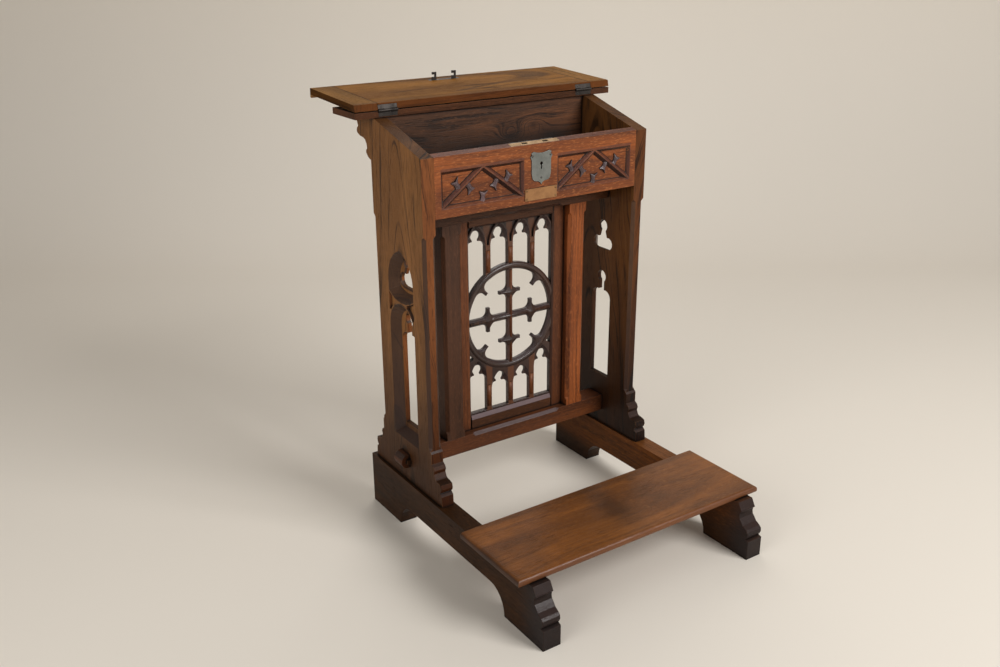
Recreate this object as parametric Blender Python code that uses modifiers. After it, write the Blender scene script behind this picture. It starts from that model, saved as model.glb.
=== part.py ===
"""Prayer lectern in oak: two sled feet, moulded side panels, a tracery grille and a lidded book box."""

import math

import bmesh
import bpy
from mathutils import Matrix, Vector

# Clearances, in metres like every length here
GAP = 0.0003
OVERRUN = 0.004
SKIN = 0.00002

# Counts and turns
QUARTER = math.pi / 2
ARC_STEPS = 6
CURVE_STEPS = 5
ROUND_SIDES = 16
DIAMOND_SIDES = 4
NOSE_STEPS = 8

# Side panels
WIDTH = 0.526
PANEL_THICKNESS = 0.0265
PANEL_DEPTH = 0.193
PANEL_CHAMFER = 0.0063
FRONT_CHAMFER_TOP = 0.657
FRONT_CHAMFER_BOTTOM = 0.220
REAR_CHAMFER_TOP = 0.663
REAR_CHAMFER_BOTTOM = 0.225
BRACKET_REACH = 0.059
BRACKET_DROP = 0.0815
BRACKET_SHARES = (
    (1.0, 0.0),
    (0.81, 0.28),
    (0.9, 0.34),
    (0.93, 0.395),
    (0.9, 0.45),
    (0.7, 0.51),
    (0.49, 0.523),
    (0.35, 0.565),
    (0.26, 0.66),
    (0.24, 0.76),
    (0.31, 0.8),
    (0.32, 0.86),
    (0.2, 0.95),
    (0.06, 1.0),
    (0.0, 1.0),
)
FOOT_REACH = 0.041
FOOT_HEIGHT = 0.105
FOOT_SHARES = (
    (0.0, 1.0),
    (0.085, 0.96),
    (0.085, 0.75),
    (0.26, 0.71),
    (0.33, 0.65),
    (0.27, 0.575),
    (0.37, 0.495),
    (0.45, 0.47),
    (0.7, 0.457),
    (0.88, 0.435),
    (0.94, 0.36),
    (0.88, 0.29),
    (0.79, 0.262),
    (0.96, 0.21),
    (1.0, 0.0),
)

# Tracery of the side panels
LANCET_CENTRE = 0.095
LANCET_HALF = 0.049
LANCET_SILL = 0.207
LANCET_SPRING = 0.545
LANCET_RISE = 0.064
LIGHT_SPRING_DROP = 0.095
LIGHT_RISE = 0.0525
TREFOIL_SINK = 0.018
LIGHT_SINK = 0.0165
SINK_SPLAY = 0.0165
SPANDREL_SINK = 0.005
RIB = 0.0018
LANCET_SAG = 0.015
SPANDREL_SPLAY = 0.002
SPANDREL_START = math.radians(32)
SPANDREL_END = math.radians(63)
TREFOIL_CHAMFER = 0.003
LOBE_RADIUS = 0.0135
LOBE_TURN = math.radians(110)
TOP_LOBE_TUCK = math.radians(50)
TOP_LOBE_DROP = 0.0285
SIDE_LOBE_DROP = 0.0375
SIDE_LOBE_OFFSET = 0.018
LIGHT_HOLE_HALF = 0.0305
LIGHT_SILL_RISE = 0.0265
LIGHT_SHOULDER_DROP = 0.0315
LIGHT_LOBE_RISE = 0.0475
LIGHT_LOBE_RADIUS = 0.014
LIGHT_SHOULDER_RADIUS = 0.0175
LIGHT_NECK_HALF = 0.009

# Sled feet
SLED_THICKNESS = 0.038
SLED_PROUD = 0.0068
SLED_HEIGHT = 0.115
SLED_FRONT = 0.389
SLED_REAR = 0.246
TOE_REACH = 0.0325
TOE_SHARES = (
    (0.0, 1.0),
    (0.29, 0.86),
    (0.16, 0.82),
    (0.13, 0.765),
    (0.17, 0.71),
    (0.31, 0.67),
    (0.47, 0.61),
    (0.78, 0.56),
    (0.92, 0.52),
    (0.93, 0.46),
    (0.84, 0.4),
    (0.72, 0.385),
    (1.0, 0.355),
    (1.0, 0.0),
)
ARCH_FRONT = 0.268
ARCH_REAR = 0.125
ARCH_HEIGHT = 0.051
ARCH_CORNER = 0.0455

# Kneeling board
KNEELER_HALF = 0.293
KNEELER_FRONT = 0.347
KNEELER_DEPTH = 0.1905
KNEELER_THICKNESS = 0.0137
KNEELER_NOSE = 0.0062
KNEELER_BOTTOM_ROUND = 0.004

# Stretcher, upper rail and posts, all in one plane
FRAMING_SETBACK = 0.080
FRAMING_DEPTH = 0.0455
STRETCHER_RISE = 0.0327
STRETCHER_HEIGHT = 0.037
TENON_DEPTH = 0.032
TENON_HEIGHT = 0.030
TENON_DROP = 0.0035
TENON_REACH = 0.019
WEDGE_WIDTH = 0.008
WEDGE_HEIGHT = 0.009
WEDGE_LENGTH = 0.044
WEDGE_TAPER = 0.002
RAIL_HEIGHT = 0.040
RAIL_CHAMFER_HALF = 0.1135
POST_WIDTH = 0.043
FRAMING_CHAMFER = 0.0062
POST_STOP_ABOVE = 0.0177
POST_STOP_BELOW = 0.0127

# Grille frame
GRILLE_HALF = 0.1330
GRILLE_SETBACK = 0.099
GRILLE_THICKNESS = 0.018
GRILLE_STILE = 0.0293
GRILLE_TOP_RAIL = 0.020
GRILLE_BOTTOM_RAIL = 0.030
GRILLE_SILL_SPLAY = 0.009
GRILLE_LIP = 0.0045
GRILLE_LIP_CHAMFER = 0.0035
GRILLE_REBATE = 0.006

# Tracery panel in the grille frame
TRACERY_THICKNESS = 0.010
LIGHT_COUNT = 4
LIGHT_MIDDLE = (LIGHT_COUNT - 1) / 2
LIGHT_PITCH = 0.0551
BAR_WIDTH = 0.013
CROSSBAR_HEIGHT = 0.0145
SPUR_CHAMFER = 0.0032
LIGHT_EASE = 0.001
RING_DROP = 0.2052
RING_OUTER = 0.1166
RING_INNER = 0.1016
SPUR_PLACE = 0.0535
SPUR_LENGTH = 0.0195
SPUR_HALF = 0.0036
SPUR_FLANK = 0.013
RING_SPUR_REACH = 0.0216
LIGHTS_SILL_RISE = 0.0037
CROWN_TUCK = 0.0023
OUTER_SPRING_DROP = 0.129
INNER_SPRING_DROP = 0.155
HEAD_LOBE_RISE = 0.0225
HEAD_LOBE_RADIUS = 0.011
HEAD_NECK_HALF = 0.0072
HEAD_SHOULDER_RADIUS = 0.0125
HEAD_SHOULDER_DROP = 0.0015
HEAD_RISE = 0.045
INNER_HEAD_RISE = 0.038
HEAD_SPLAY = 0.006
ARCH_RIB = 0.003
HEAD_SINK = 0.005
HEAD_SINK_SPLAY = 0.0018
HEAD_FOOT = 0.010
CORNER_HOLE_LEG = 0.0105
CORNER_HOLE_FALL = 0.067
CORNER_HOLE_DROP = 0.017

# Book box
BOARD_THICKNESS = 0.015
FRONT_HEIGHT = 0.1138
FLOOR_THICKNESS = 0.012
RECESS_INNER = 0.040
RECESS_OUTER = 0.2216
RECESS_FOOT = 0.017
RECESS_HEAD = 0.0283
RECESS_DEPTH = 0.006
RAFTER_RIDGE = 0.0012
CARVING_SETBACK = 0.001
CROCKET_LENGTH = 0.011
CROCKET_HALF = 0.0016
CROCKET_SPLAY = 0.0042
CROCKET_PLACE_SHARE = 0.64
CUSP_LENGTH = 0.010
CUSP_PLACE_SHARE = 0.4
BASE_CUSP_HEIGHT = 0.0175
BASE_CUSP_HALF = 0.0022

# Shelf, lid and hinges
SHELF_HALF = 0.302
SHELF_DEPTH = 0.097
SHELF_THICKNESS = 0.012
SHELF_TOP = 0.861
AXIS_SETBACK = 0.170
ARRIS_OFFSET = 0.001
SLOPE = math.radians(15.7)
OPEN_TILT = math.radians(3.0)
LID_LENGTH = 0.1990
LID_THICKNESS = 0.0126
CLEAT_WIDTH = 0.0485
LIP_HEIGHT = 0.0055
LIP_WIDTH = 0.019
LIP_TOP_FLAT = 0.006
LIP_TOP_ROUND = 0.0015
HINGE_INSET = 0.069
HINGE_WIDTH = 0.040
HINGE_LEAF_HEIGHT = 0.0112
HINGE_LEAF_THICKNESS = 0.0012
BARREL_RADIUS = 0.0028
BARREL_CLEARANCE = 0.0006
PIN_RADIUS = 0.0012
PIN_PROUD = 0.0005
CENTRE_KNUCKLE_SHARE = 0.36

# Lock
SELVEDGE_LEFT = 0.067
SELVEDGE_RIGHT = 0.045
SELVEDGE_THICKNESS = 0.0015
SELVEDGE_NEAR = 0.1665
SELVEDGE_FAR = 0.1785
SLOT_LENGTH = 0.013
SLOT_NEAR = 0.1683
SLOT_FAR = 0.1752
LUG_PLACES = (-0.033, 0.015)
LUG_WIDTH = 0.010
LUG_THICKNESS = 0.003
LUG_HEIGHT = 0.016
LUG_CENTRE = 0.1705
LUG_NOTCH_DROP = 0.006
LUG_NOTCH_HEIGHT = 0.005
LUG_NOTCH_DEPTH = 0.0062
LINK_PLATE_END = 0.0075
LINK_PLATE_HALF = 0.006
LINK_PLATE_THICKNESS = 0.0015
CASE_END = 0.0045
CASE_FRONT = 0.004
CASE_WALL = 0.0012
CASE_BACK = 0.0196
CASE_DROP = 0.020
CASE_CLEARANCE = 0.003
WORKS_RISE = 0.006
BOLT_THICKNESS = 0.0022
BOLT_CLEARANCE = 0.0007
BOLT_BAR_DROP = 0.018
BOLT_BAR_HEIGHT = 0.006
BOLT_POST_WIDTH = 0.004
TOOTH_LENGTH = 0.0052
TOOTH_CLEARANCE = 0.0006

# Escutcheon and nameplate
PLATE_THICKNESS = 0.0012
ESCUTCHEON_HALF = 0.0255
ESCUTCHEON_HEIGHT = 0.0635
ESCUTCHEON_HEAD = 0.0148
ESCUTCHEON_SHARES = (
    (0.0, 0.95),
    (0.4, 0.965),
    (0.72, 1.0),
    (0.92, 0.96),
    (0.84, 0.9),
    (1.0, 0.86),
    (0.88, 0.74),
    (0.88, 0.34),
    (0.8, 0.18),
    (0.62, 0.12),
    (0.28, 0.1),
    (0.1, 0.06),
    (0.0, 0.0),
)
KEYHOLE_RISE = 0.0405
KEYHOLE_RADIUS = 0.0034
KEYHOLE_HALF = 0.0014
KEYHOLE_DROP = 0.011
NAMEPLATE_HALF = 0.0375
NAMEPLATE_FOOT = 0.006
NAMEPLATE_HEIGHT = 0.023

# Places worked out from the sizes above
HALF_WIDTH = WIDTH / 2
INNER_FACE = HALF_WIDTH - PANEL_THICKNESS
PANEL_BOTTOM = SLED_HEIGHT + GAP
SHELF_BOTTOM = SHELF_TOP - SHELF_THICKNESS
PANEL_TOP = SHELF_BOTTOM - GAP
AXIS_HEIGHT = SHELF_TOP + ARRIS_OFFSET
LID_TOP = -ARRIS_OFFSET
LID_UNDER = LID_TOP - LID_THICKNESS
SLOPE_PLANE = LID_UNDER - GAP
LIGHT_SPRING = LANCET_SPRING - LIGHT_SPRING_DROP
LIGHT_HOLE_SILL = LANCET_SILL + LIGHT_SILL_RISE
LIGHT_HOLE_SHOULDER = LIGHT_SPRING - LIGHT_SHOULDER_DROP
LIGHT_LOBE_HEIGHT = LIGHT_HOLE_SHOULDER + LIGHT_LOBE_RISE
TOP_LOBE_HEIGHT = LANCET_SPRING + LANCET_RISE - TOP_LOBE_DROP
SIDE_LOBE_HEIGHT = TOP_LOBE_HEIGHT - SIDE_LOBE_DROP
FRONT_EDGE = AXIS_HEIGHT - AXIS_SETBACK * math.tan(SLOPE) + SLOPE_PLANE / math.cos(SLOPE)
FRONT_BOTTOM = FRONT_EDGE - FRONT_HEIGHT
RAIL_BOTTOM = FRONT_BOTTOM - RAIL_HEIGHT
STRETCHER_BOTTOM = PANEL_BOTTOM + STRETCHER_RISE
STRETCHER_TOP = STRETCHER_BOTTOM + STRETCHER_HEIGHT
FRAMING_BACK = FRAMING_SETBACK + FRAMING_DEPTH
TENON_CENTRE_HEIGHT = (STRETCHER_BOTTOM + STRETCHER_TOP) / 2 - TENON_DROP
TENON_CENTRE_DEPTH = FRAMING_SETBACK + FRAMING_DEPTH / 2
GRILLE_BOTTOM = STRETCHER_TOP + GAP
GRILLE_TOP = RAIL_BOTTOM - GAP
OPENING_HALF = GRILLE_HALF - GAP - GRILLE_STILE
OPENING_BOTTOM = GRILLE_BOTTOM + GRILLE_BOTTOM_RAIL
OPENING_TOP = GRILLE_TOP - GRILLE_TOP_RAIL
LIGHT_HALF = (LIGHT_PITCH - BAR_WIDTH) / 2
RING_HEIGHT = OPENING_TOP - RING_DROP
LIGHTS_SILL = OPENING_BOTTOM + LIGHTS_SILL_RISE
UPPER_SPRING = OPENING_TOP + CROWN_TUCK - HEAD_RISE
OUTER_SPRING = RING_HEIGHT - OUTER_SPRING_DROP
INNER_SPRING = RING_HEIGHT - INNER_SPRING_DROP
RECESS_BOTTOM = FRONT_BOTTOM + RECESS_FOOT
RECESS_TOP = FRONT_EDGE - RECESS_HEAD
ESCUTCHEON_TIP = FRONT_EDGE - ESCUTCHEON_HEAD - ESCUTCHEON_HEIGHT
KEYHOLE_HEIGHT = ESCUTCHEON_TIP + KEYHOLE_RISE
NAMEPLATE_BOTTOM = FRONT_BOTTOM + NAMEPLATE_FOOT
CASE_BOTTOM = KEYHOLE_HEIGHT - CASE_DROP
CASE_STEP = RECESS_TOP + CASE_CLEARANCE
CASE_FOOT_HALF = RECESS_INNER - CASE_CLEARANCE
HINGE_CENTRE = SHELF_HALF - HINGE_INSET
BOX_BACK_FRONT = PANEL_DEPTH - BOARD_THICKNESS
LID_PANEL_HALF = SHELF_HALF - CLEAT_WIDTH - GAP
LID_REACH = LID_LENGTH * math.cos(OPEN_TILT)
LIP_CORNER = GAP + LIP_HEIGHT - ARRIS_OFFSET - LIP_TOP_ROUND
REAR_END = AXIS_SETBACK + LID_REACH + LIP_CORNER * math.sin(OPEN_TILT)
MIDDLE = (REAR_END - SLED_FRONT) / 2


def clear_scene():
    """Remove whatever the scene holds before the model is built."""
    for item in list(bpy.data.objects):
        bpy.data.objects.remove(item, do_unlink=True)


clear_scene()
PARTS = bpy.data.collections.new("prayer_lectern")
bpy.context.scene.collection.children.link(PARTS)
CUTTERS = bpy.data.collections.new("prayer_lectern_cutters")
bpy.context.scene.collection.children.link(CUTTERS)


def surface(name, colour, roughness, metallic=0.0):
    """Return a plain Principled material."""
    made = bpy.data.materials.new(name)
    made.use_nodes = True
    shader = made.node_tree.nodes["Principled BSDF"]
    shader.inputs["Base Color"].default_value = (*colour, 1.0)
    shader.inputs["Roughness"].default_value = roughness
    shader.inputs["Metallic"].default_value = metallic
    return made


OAK_FRONT = (0.26, 0.085, 0.028)
OAK_SIDE = (0.17, 0.085, 0.037)
OAK_DARK = (0.04, 0.02, 0.01)
OAK_TRACERY = (0.07, 0.03, 0.018)
OAK_KNEELER = (0.2, 0.095, 0.038)
OAK_LID = (0.28, 0.15, 0.06)
STEEL_GREY = (0.19, 0.2, 0.2)
BRASS_DULL = (0.32, 0.18, 0.06)
BRASS_PALE = (0.45, 0.3, 0.15)
IRON_DARK = (0.05, 0.045, 0.042)
WOOD_ROUGHNESS = 0.5
METAL_ROUGHNESS = 0.42


def adopt(piece, colour, roughness=WOOD_ROUGHNESS, metallic=0.0):
    """Give a finished piece its own material and its place among the parts."""
    piece.data.materials.clear()
    piece.data.materials.append(surface(piece.name, colour, roughness, metallic))
    if piece.parent is None:
        piece.parent = BASE
    return piece


def metal(piece, colour):
    """Give a metal piece its material."""
    return adopt(piece, colour, METAL_ROUGHNESS, 1.0)


def as_cutter(piece):
    """Move a shape to the cutters and keep it out of the render."""
    for owner in list(piece.users_collection):
        owner.objects.unlink(piece)
    CUTTERS.objects.link(piece)
    piece.hide_render = True
    piece.display_type = "WIRE"
    return piece


def mesh_object(name, shape):
    """Turn a bmesh into a linked object."""
    bmesh.ops.recalc_face_normals(shape, faces=shape.faces)
    data = bpy.data.meshes.new(name)
    shape.to_mesh(data)
    shape.free()
    made = bpy.data.objects.new(name, data)
    PARTS.objects.link(made)
    return made


def block(name, x_span, y_span, z_span):
    """A box between two places on each axis."""
    shape = bmesh.new()
    bmesh.ops.create_cube(shape, size=1.0)
    low = Vector((min(x_span), min(y_span), min(z_span)))
    high = Vector((max(x_span), max(y_span), max(z_span)))
    grow = Matrix.Diagonal((*(high - low), 1.0))
    bmesh.ops.transform(shape, matrix=Matrix.Translation((low + high) / 2) @ grow, verts=shape.verts)
    return mesh_object(name, shape)


def rod(name, start, end, radius, sides=ROUND_SIDES):
    """A cylinder between two points."""
    way = end - start
    shape = bmesh.new()
    bmesh.ops.create_cone(
        shape, cap_ends=True, segments=sides, radius1=radius, radius2=radius, depth=way.length
    )
    turn = Vector((0, 0, 1)).rotation_difference(way).to_matrix().to_4x4()
    bmesh.ops.transform(shape, matrix=Matrix.Translation((start + end) / 2) @ turn, verts=shape.verts)
    made = mesh_object(name, shape)
    made.data.shade_smooth()
    made.data.set_sharp_from_angle(angle=QUARTER / 2)
    return made


FLAT = math.radians(0.05)
SIDE_PLANE = Matrix(((0, 0, 1, 0), (1, 0, 0, 0), (0, 1, 0, 0), (0, 0, 0, 1)))
FRONT_PLANE = Matrix(((1, 0, 0, 0), (0, 0, -1, 0), (0, 1, 0, 0), (0, 0, 0, 1)))
LEVEL_PLANE = Matrix.Identity(4)


def slab(name, outline, plane, low, high, splay=0.0, inset=0.0):
    """A flat outline between two depths; with a splay it widens towards its middle plane."""
    curve = bpy.data.curves.new(name, "CURVE")
    curve.dimensions = "2D"
    curve.fill_mode = "BOTH"
    curve.extrude = (high - low) / 2 - splay
    curve.bevel_depth = splay
    curve.bevel_resolution = 0
    curve.offset = -inset
    line = curve.splines.new("POLY")
    line.points.add(len(outline) - 1)
    for point, place in zip(line.points, outline):
        point.co = (place[0], place[1], 0, 1)
    line.use_cyclic_u = True
    holder = bpy.data.objects.new(name, curve)
    PARTS.objects.link(holder)
    bpy.context.view_layer.update()
    seen = holder.evaluated_get(bpy.context.evaluated_depsgraph_get())
    data = bpy.data.meshes.new_from_object(seen)
    bpy.data.objects.remove(holder)
    bpy.data.curves.remove(curve)
    shape = bmesh.new()
    shape.from_mesh(data)
    bpy.data.meshes.remove(data)
    bmesh.ops.remove_doubles(shape, verts=shape.verts, dist=SKIN / 4)
    middle = Vector((0, 0, depth_sign(plane) * (low + high) / 2))
    bmesh.ops.transform(shape, matrix=plane @ Matrix.Translation(middle), verts=shape.verts)
    bmesh.ops.dissolve_limit(shape, angle_limit=FLAT, verts=shape.verts, edges=shape.edges)
    return mesh_object(name, shape)


def depth_sign(plane):
    """The front plane's normal points to the viewer, so its depths are counted the other way."""
    return -1.0 if plane is FRONT_PLANE else 1.0


def across(plane):
    """The world axis that a plane's depths are counted along."""
    normal = plane.to_3x3() @ Vector((0, 0, 1))
    return Vector([abs(part) for part in normal])


def sink_cutter(name, outline, plane, face, depth, splay):
    """A cutter as wide as the outline on a face, drawn in by the splay at a depth behind it."""
    made = slab(name, outline, plane, -splay - SKIN, splay + SKIN, splay, splay)
    grow = Matrix.Scale(depth / splay, 4, across(plane))
    made.data.transform(Matrix.Translation(across(plane) * face) @ grow)
    return made


def arris_cutter(name, outline, plane, face, splay):
    """A cutter that takes the arris off a hole: the outline at a depth, wider by the splay on the face."""
    return slab(name, outline, plane, face - splay - SKIN, face + splay + SKIN, splay)


def turned(name, profile, sides, smooth=True):
    """A profile turned about Z, with its outer side listed from the top down."""
    shape = bmesh.new()
    corners = [shape.verts.new((radius, 0, height)) for radius, height in profile]
    for upper, lower in zip(corners, corners[1:]):
        shape.edges.new((upper, lower))
    made = mesh_object(name, shape)
    screw = made.modifiers.new("Turn", "SCREW")
    screw.steps = sides
    screw.render_steps = sides
    screw.use_merge_vertices = True
    screw.merge_threshold = SKIN
    screw.use_smooth_shade = smooth
    return settle(made)


def settle(piece):
    """Apply a piece's modifiers."""
    bpy.context.view_layer.update()
    seen = piece.evaluated_get(bpy.context.evaluated_depsgraph_get())
    data = bpy.data.meshes.new_from_object(seen)
    old = piece.data
    piece.modifiers.clear()
    piece.data = data
    bpy.data.meshes.remove(old)
    data.name = piece.name
    return piece


def chamfer_cutter(name, start, end, leg):
    """A stopped chamfer along an arris: a diamond bar whose ends run out at forty-five degrees."""
    way = end - start
    half = way.length / 2
    profile = ((0, half), (leg, half - leg), (leg, leg - half), (0, -half))
    made = turned(name, profile, DIAMOND_SIDES, smooth=False)
    turn = Vector((0, 0, 1)).rotation_difference(way).to_matrix().to_4x4()
    made.data.transform(Matrix.Translation((start + end) / 2) @ turn)
    return as_cutter(made)


def boolean(piece, others, operation):
    """Cut a piece with others, or join them to it; each follows its piece."""
    for other in others:
        other.parent = piece
        change = piece.modifiers.new(operation.title(), "BOOLEAN")
        change.operation = operation
        change.solver = "EXACT"
        change.object = other
    return piece


def cut(piece, *others):
    """Cut each of the other shapes from a piece."""
    return boolean(piece, [as_cutter(other) for other in others], "DIFFERENCE")


def join(piece, *others):
    """Join each of the other shapes to a piece."""
    return boolean(piece, [as_cutter(other) for other in others], "UNION")


def soften(piece, chosen, width, segments):
    """Round the chosen edges of a piece."""
    shape = bmesh.new()
    shape.from_mesh(piece.data)
    edges = [edge for edge in shape.edges if chosen(edge)]
    bmesh.ops.bevel(
        shape, geom=edges, offset=width, segments=segments, profile=0.5, affect="EDGES", clamp_overlap=True
    )
    shape.to_mesh(piece.data)
    shape.free()
    return piece


def arc(centre, radius, start, end, steps=ARC_STEPS):
    """Points on an arc between two angles, both ends included."""
    turns = [start + (end - start) * step / steps for step in range(steps + 1)]
    return [(centre[0] + radius * math.cos(turn), centre[1] + radius * math.sin(turn)) for turn in turns]


def lancet(centre, half, bottom, spring, rise):
    """A pointed arch on straight jambs."""
    radius = (half * half + rise * rise) / (2 * half)
    turn = math.atan2(rise, radius - half)
    right = arc((centre + half - radius, spring), radius, 0, turn)
    left = arc((centre - half + radius, spring), radius, 2 * QUARTER - turn, 2 * QUARTER)
    return [(centre - half, bottom), (centre + half, bottom)] + right + left[1:]


def cusped_light(centre, half, bottom, shoulder, neck, shoulder_radius, lobe_height, lobe_radius):
    """An upright light whose round head stands on two shoulders, with a cusp at each side."""
    lean = math.acos((neck - half + shoulder_radius) / shoulder_radius)
    tuck = math.acos(neck / lobe_radius)
    side = half - shoulder_radius
    right = arc((centre + side, shoulder), shoulder_radius, 0, lean)
    lobe = arc((centre, lobe_height), lobe_radius, -tuck, 2 * QUARTER + tuck, 2 * ARC_STEPS)
    left = arc((centre - side, shoulder), shoulder_radius, 2 * QUARTER - lean, 2 * QUARTER)
    return [(centre - half, bottom), (centre + half, bottom)] + right + lobe + left


def anchor(name, place, turn, carrier=None):
    """An empty that pieces hang from."""
    made = bpy.data.objects.new(name, None)
    PARTS.objects.link(made)
    made.location = place
    made.rotation_euler = (turn, 0, 0)
    made.parent = carrier
    return made


BASE = anchor("lectern", (0, -MIDDLE, 0), 0)
DESK_SLOPE = anchor("desk_slope", (0, AXIS_SETBACK, AXIS_HEIGHT), SLOPE, BASE)
LID_AXIS = anchor("lid_axis", (0, AXIS_SETBACK, AXIS_HEIGHT), OPEN_TILT - 2 * QUARTER, BASE)
CLOSED_FRAME = Matrix.Translation((0, AXIS_SETBACK, AXIS_HEIGHT)) @ Matrix.Rotation(SLOPE, 4, "X")


def upright(piece):
    """Bring a shape that was drawn along the slope into the upright frame."""
    piece.data.transform(CLOSED_FRAME)
    return piece


def slope_height(setback, level=SLOPE_PLANE):
    """Height of a plane parallel to the desk slope."""
    return AXIS_HEIGHT + math.tan(SLOPE) * (setback - AXIS_SETBACK) + level / math.cos(SLOPE)


# Side panels


def panel_outline():
    """Outline of a side panel: moulded foot, sloping desk and shelf bracket."""
    foot = [(FOOT_REACH * out, PANEL_BOTTOM + FOOT_HEIGHT * up) for out, up in FOOT_SHARES]
    front = [(-out, height) for out, height in foot]
    rear = [(PANEL_DEPTH + out, height) for out, height in reversed(foot)]
    bracket = []
    for out, down in reversed(BRACKET_SHARES):
        bracket.append((PANEL_DEPTH + BRACKET_REACH * out, PANEL_TOP - BRACKET_DROP * down))
    meeting = AXIS_SETBACK + (PANEL_TOP - AXIS_HEIGHT - SLOPE_PLANE / math.cos(SLOPE)) / math.tan(SLOPE)
    return [(0, slope_height(0))] + front + rear + bracket + [(meeting, PANEL_TOP)]


def upper_sink_outline():
    """The curved triangle under the head of the side tracery."""
    corner = LIGHT_SPRING + LIGHT_RISE + LANCET_SAG
    sag_radius = (LANCET_HALF * LANCET_HALF + LANCET_SAG * LANCET_SAG) / (2 * LANCET_SAG)
    turn = math.asin(LANCET_HALF / sag_radius)
    middle = (LANCET_CENTRE, corner - LANCET_SAG + sag_radius + RIB / 2)
    below = arc(middle, sag_radius, -QUARTER - turn, turn - QUARTER)
    head = lancet(LANCET_CENTRE, LANCET_HALF, corner, LANCET_SPRING, LANCET_RISE)
    return below + head[2:]


def spandrel_outline(side):
    """The small sunk spandrel between the light and the curved triangle."""
    light_radius = (LANCET_HALF * LANCET_HALF + LIGHT_RISE * LIGHT_RISE) / (2 * LANCET_HALF)
    centre = LANCET_HALF - light_radius
    lower = arc((centre, LIGHT_SPRING), light_radius + RIB, SPANDREL_START, SPANDREL_END)
    top = LIGHT_SPRING + LIGHT_RISE - RIB / 2
    upper = []
    for step in range(ARC_STEPS + 1):
        across_share = step / ARC_STEPS
        place = lower[-1][0] + (LANCET_HALF - lower[-1][0]) * across_share
        upper.append((place, top + LANCET_SAG * (place / LANCET_HALF) ** 2))
    flat = lower + upper + [(LANCET_HALF, lower[0][1])]
    return [(LANCET_CENTRE + side * out, up) for out, up in flat]


def trefoil_outline():
    """The three-lobed eye of the side tracery."""
    far_eye = (LANCET_CENTRE + SIDE_LOBE_OFFSET, SIDE_LOBE_HEIGHT)
    top_eye = (LANCET_CENTRE, TOP_LOBE_HEIGHT)
    near_eye = (LANCET_CENTRE - SIDE_LOBE_OFFSET, SIDE_LOBE_HEIGHT)
    right = arc(far_eye, LOBE_RADIUS, -QUARTER, LOBE_TURN)
    top = arc(top_eye, LOBE_RADIUS, -TOP_LOBE_TUCK, 2 * QUARTER + TOP_LOBE_TUCK, 2 * ARC_STEPS)
    left = arc(near_eye, LOBE_RADIUS, 2 * QUARTER - LOBE_TURN, 3 * QUARTER)
    return right + top + left


def side_panel(word, side):
    """A side panel with its pierced and splayed tracery."""
    name = word + "_side_panel"
    outer = side * HALF_WIDTH
    inner = side * INNER_FACE
    floor = outer - side * TREFOIL_SINK
    low = min(inner, outer) - OVERRUN
    high = max(inner, outer) + OVERRUN
    panel = slab(name, panel_outline(), SIDE_PLANE, min(inner, outer), max(inner, outer))
    for place, setback, bottom, top in (
        (outer, 0, FRONT_CHAMFER_BOTTOM, FRONT_CHAMFER_TOP),
        (inner, 0, FRONT_CHAMFER_BOTTOM, FRONT_CHAMFER_TOP),
        (outer, PANEL_DEPTH, REAR_CHAMFER_BOTTOM, REAR_CHAMFER_TOP),
    ):
        start = Vector((place, setback, bottom))
        end = Vector((place, setback, top))
        cut(panel, chamfer_cutter(name + "_chamfer", start, end, PANEL_CHAMFER))
    light = lancet(LANCET_CENTRE, LANCET_HALF, LANCET_SILL, LIGHT_SPRING, LIGHT_RISE - RIB / 2)
    hole = cusped_light(
        LANCET_CENTRE,
        LIGHT_HOLE_HALF,
        LIGHT_HOLE_SILL,
        LIGHT_HOLE_SHOULDER,
        LIGHT_NECK_HALF,
        LIGHT_SHOULDER_RADIUS,
        LIGHT_LOBE_HEIGHT,
        LIGHT_LOBE_RADIUS,
    )
    triangle = upper_sink_outline()
    cut(panel, sink_cutter(name + "_upper_sink", triangle, SIDE_PLANE, outer, TREFOIL_SINK, SINK_SPLAY))
    cut(panel, sink_cutter(name + "_light_sink", light, SIDE_PLANE, outer, LIGHT_SINK, SINK_SPLAY))
    for hand in (-1, 1):
        outline = spandrel_outline(hand)
        cut(panel, sink_cutter(name + "_spandrel", outline, SIDE_PLANE, outer, SPANDREL_SINK, SPANDREL_SPLAY))
    cut(panel, slab(name + "_light_hole", hole, SIDE_PLANE, low, high))
    cut(panel, slab(name + "_trefoil", trefoil_outline(), SIDE_PLANE, low, high))
    cut(panel, arris_cutter(name + "_trefoil_arris", trefoil_outline(), SIDE_PLANE, floor, TREFOIL_CHAMFER))
    cut(panel, block(name + "_mortise", (low, high), *tenon_spans(GAP)))
    return adopt(panel, OAK_SIDE)


def tenon_spans(room):
    """The tenon's extent in depth and height, with room round it."""
    half_depth = TENON_DEPTH / 2 + room
    half_height = TENON_HEIGHT / 2 + room
    depths = (TENON_CENTRE_DEPTH - half_depth, TENON_CENTRE_DEPTH + half_depth)
    heights = (TENON_CENTRE_HEIGHT - half_height, TENON_CENTRE_HEIGHT + half_height)
    return depths, heights


# Sled feet and kneeling board


def sled_outline():
    """Outline of a sled foot: a moulded toe, a plain heel and an arched underside."""
    front = [(TOE_REACH * (1 - out) - SLED_FRONT, SLED_HEIGHT * up) for out, up in TOE_SHARES]
    rear = [(SLED_REAR, 0), (SLED_REAR, SLED_HEIGHT)]
    turns = [QUARTER * step / ARC_STEPS for step in range(ARC_STEPS + 1)]
    haunch = [(ARCH_CORNER * (1 - math.cos(turn)), ARCH_HEIGHT * math.sin(turn)) for turn in turns]
    near = [(along - ARCH_FRONT, rise) for along, rise in haunch]
    far = [(ARCH_REAR - along, rise) for along, rise in reversed(haunch)]
    return front + near + far + rear


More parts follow.
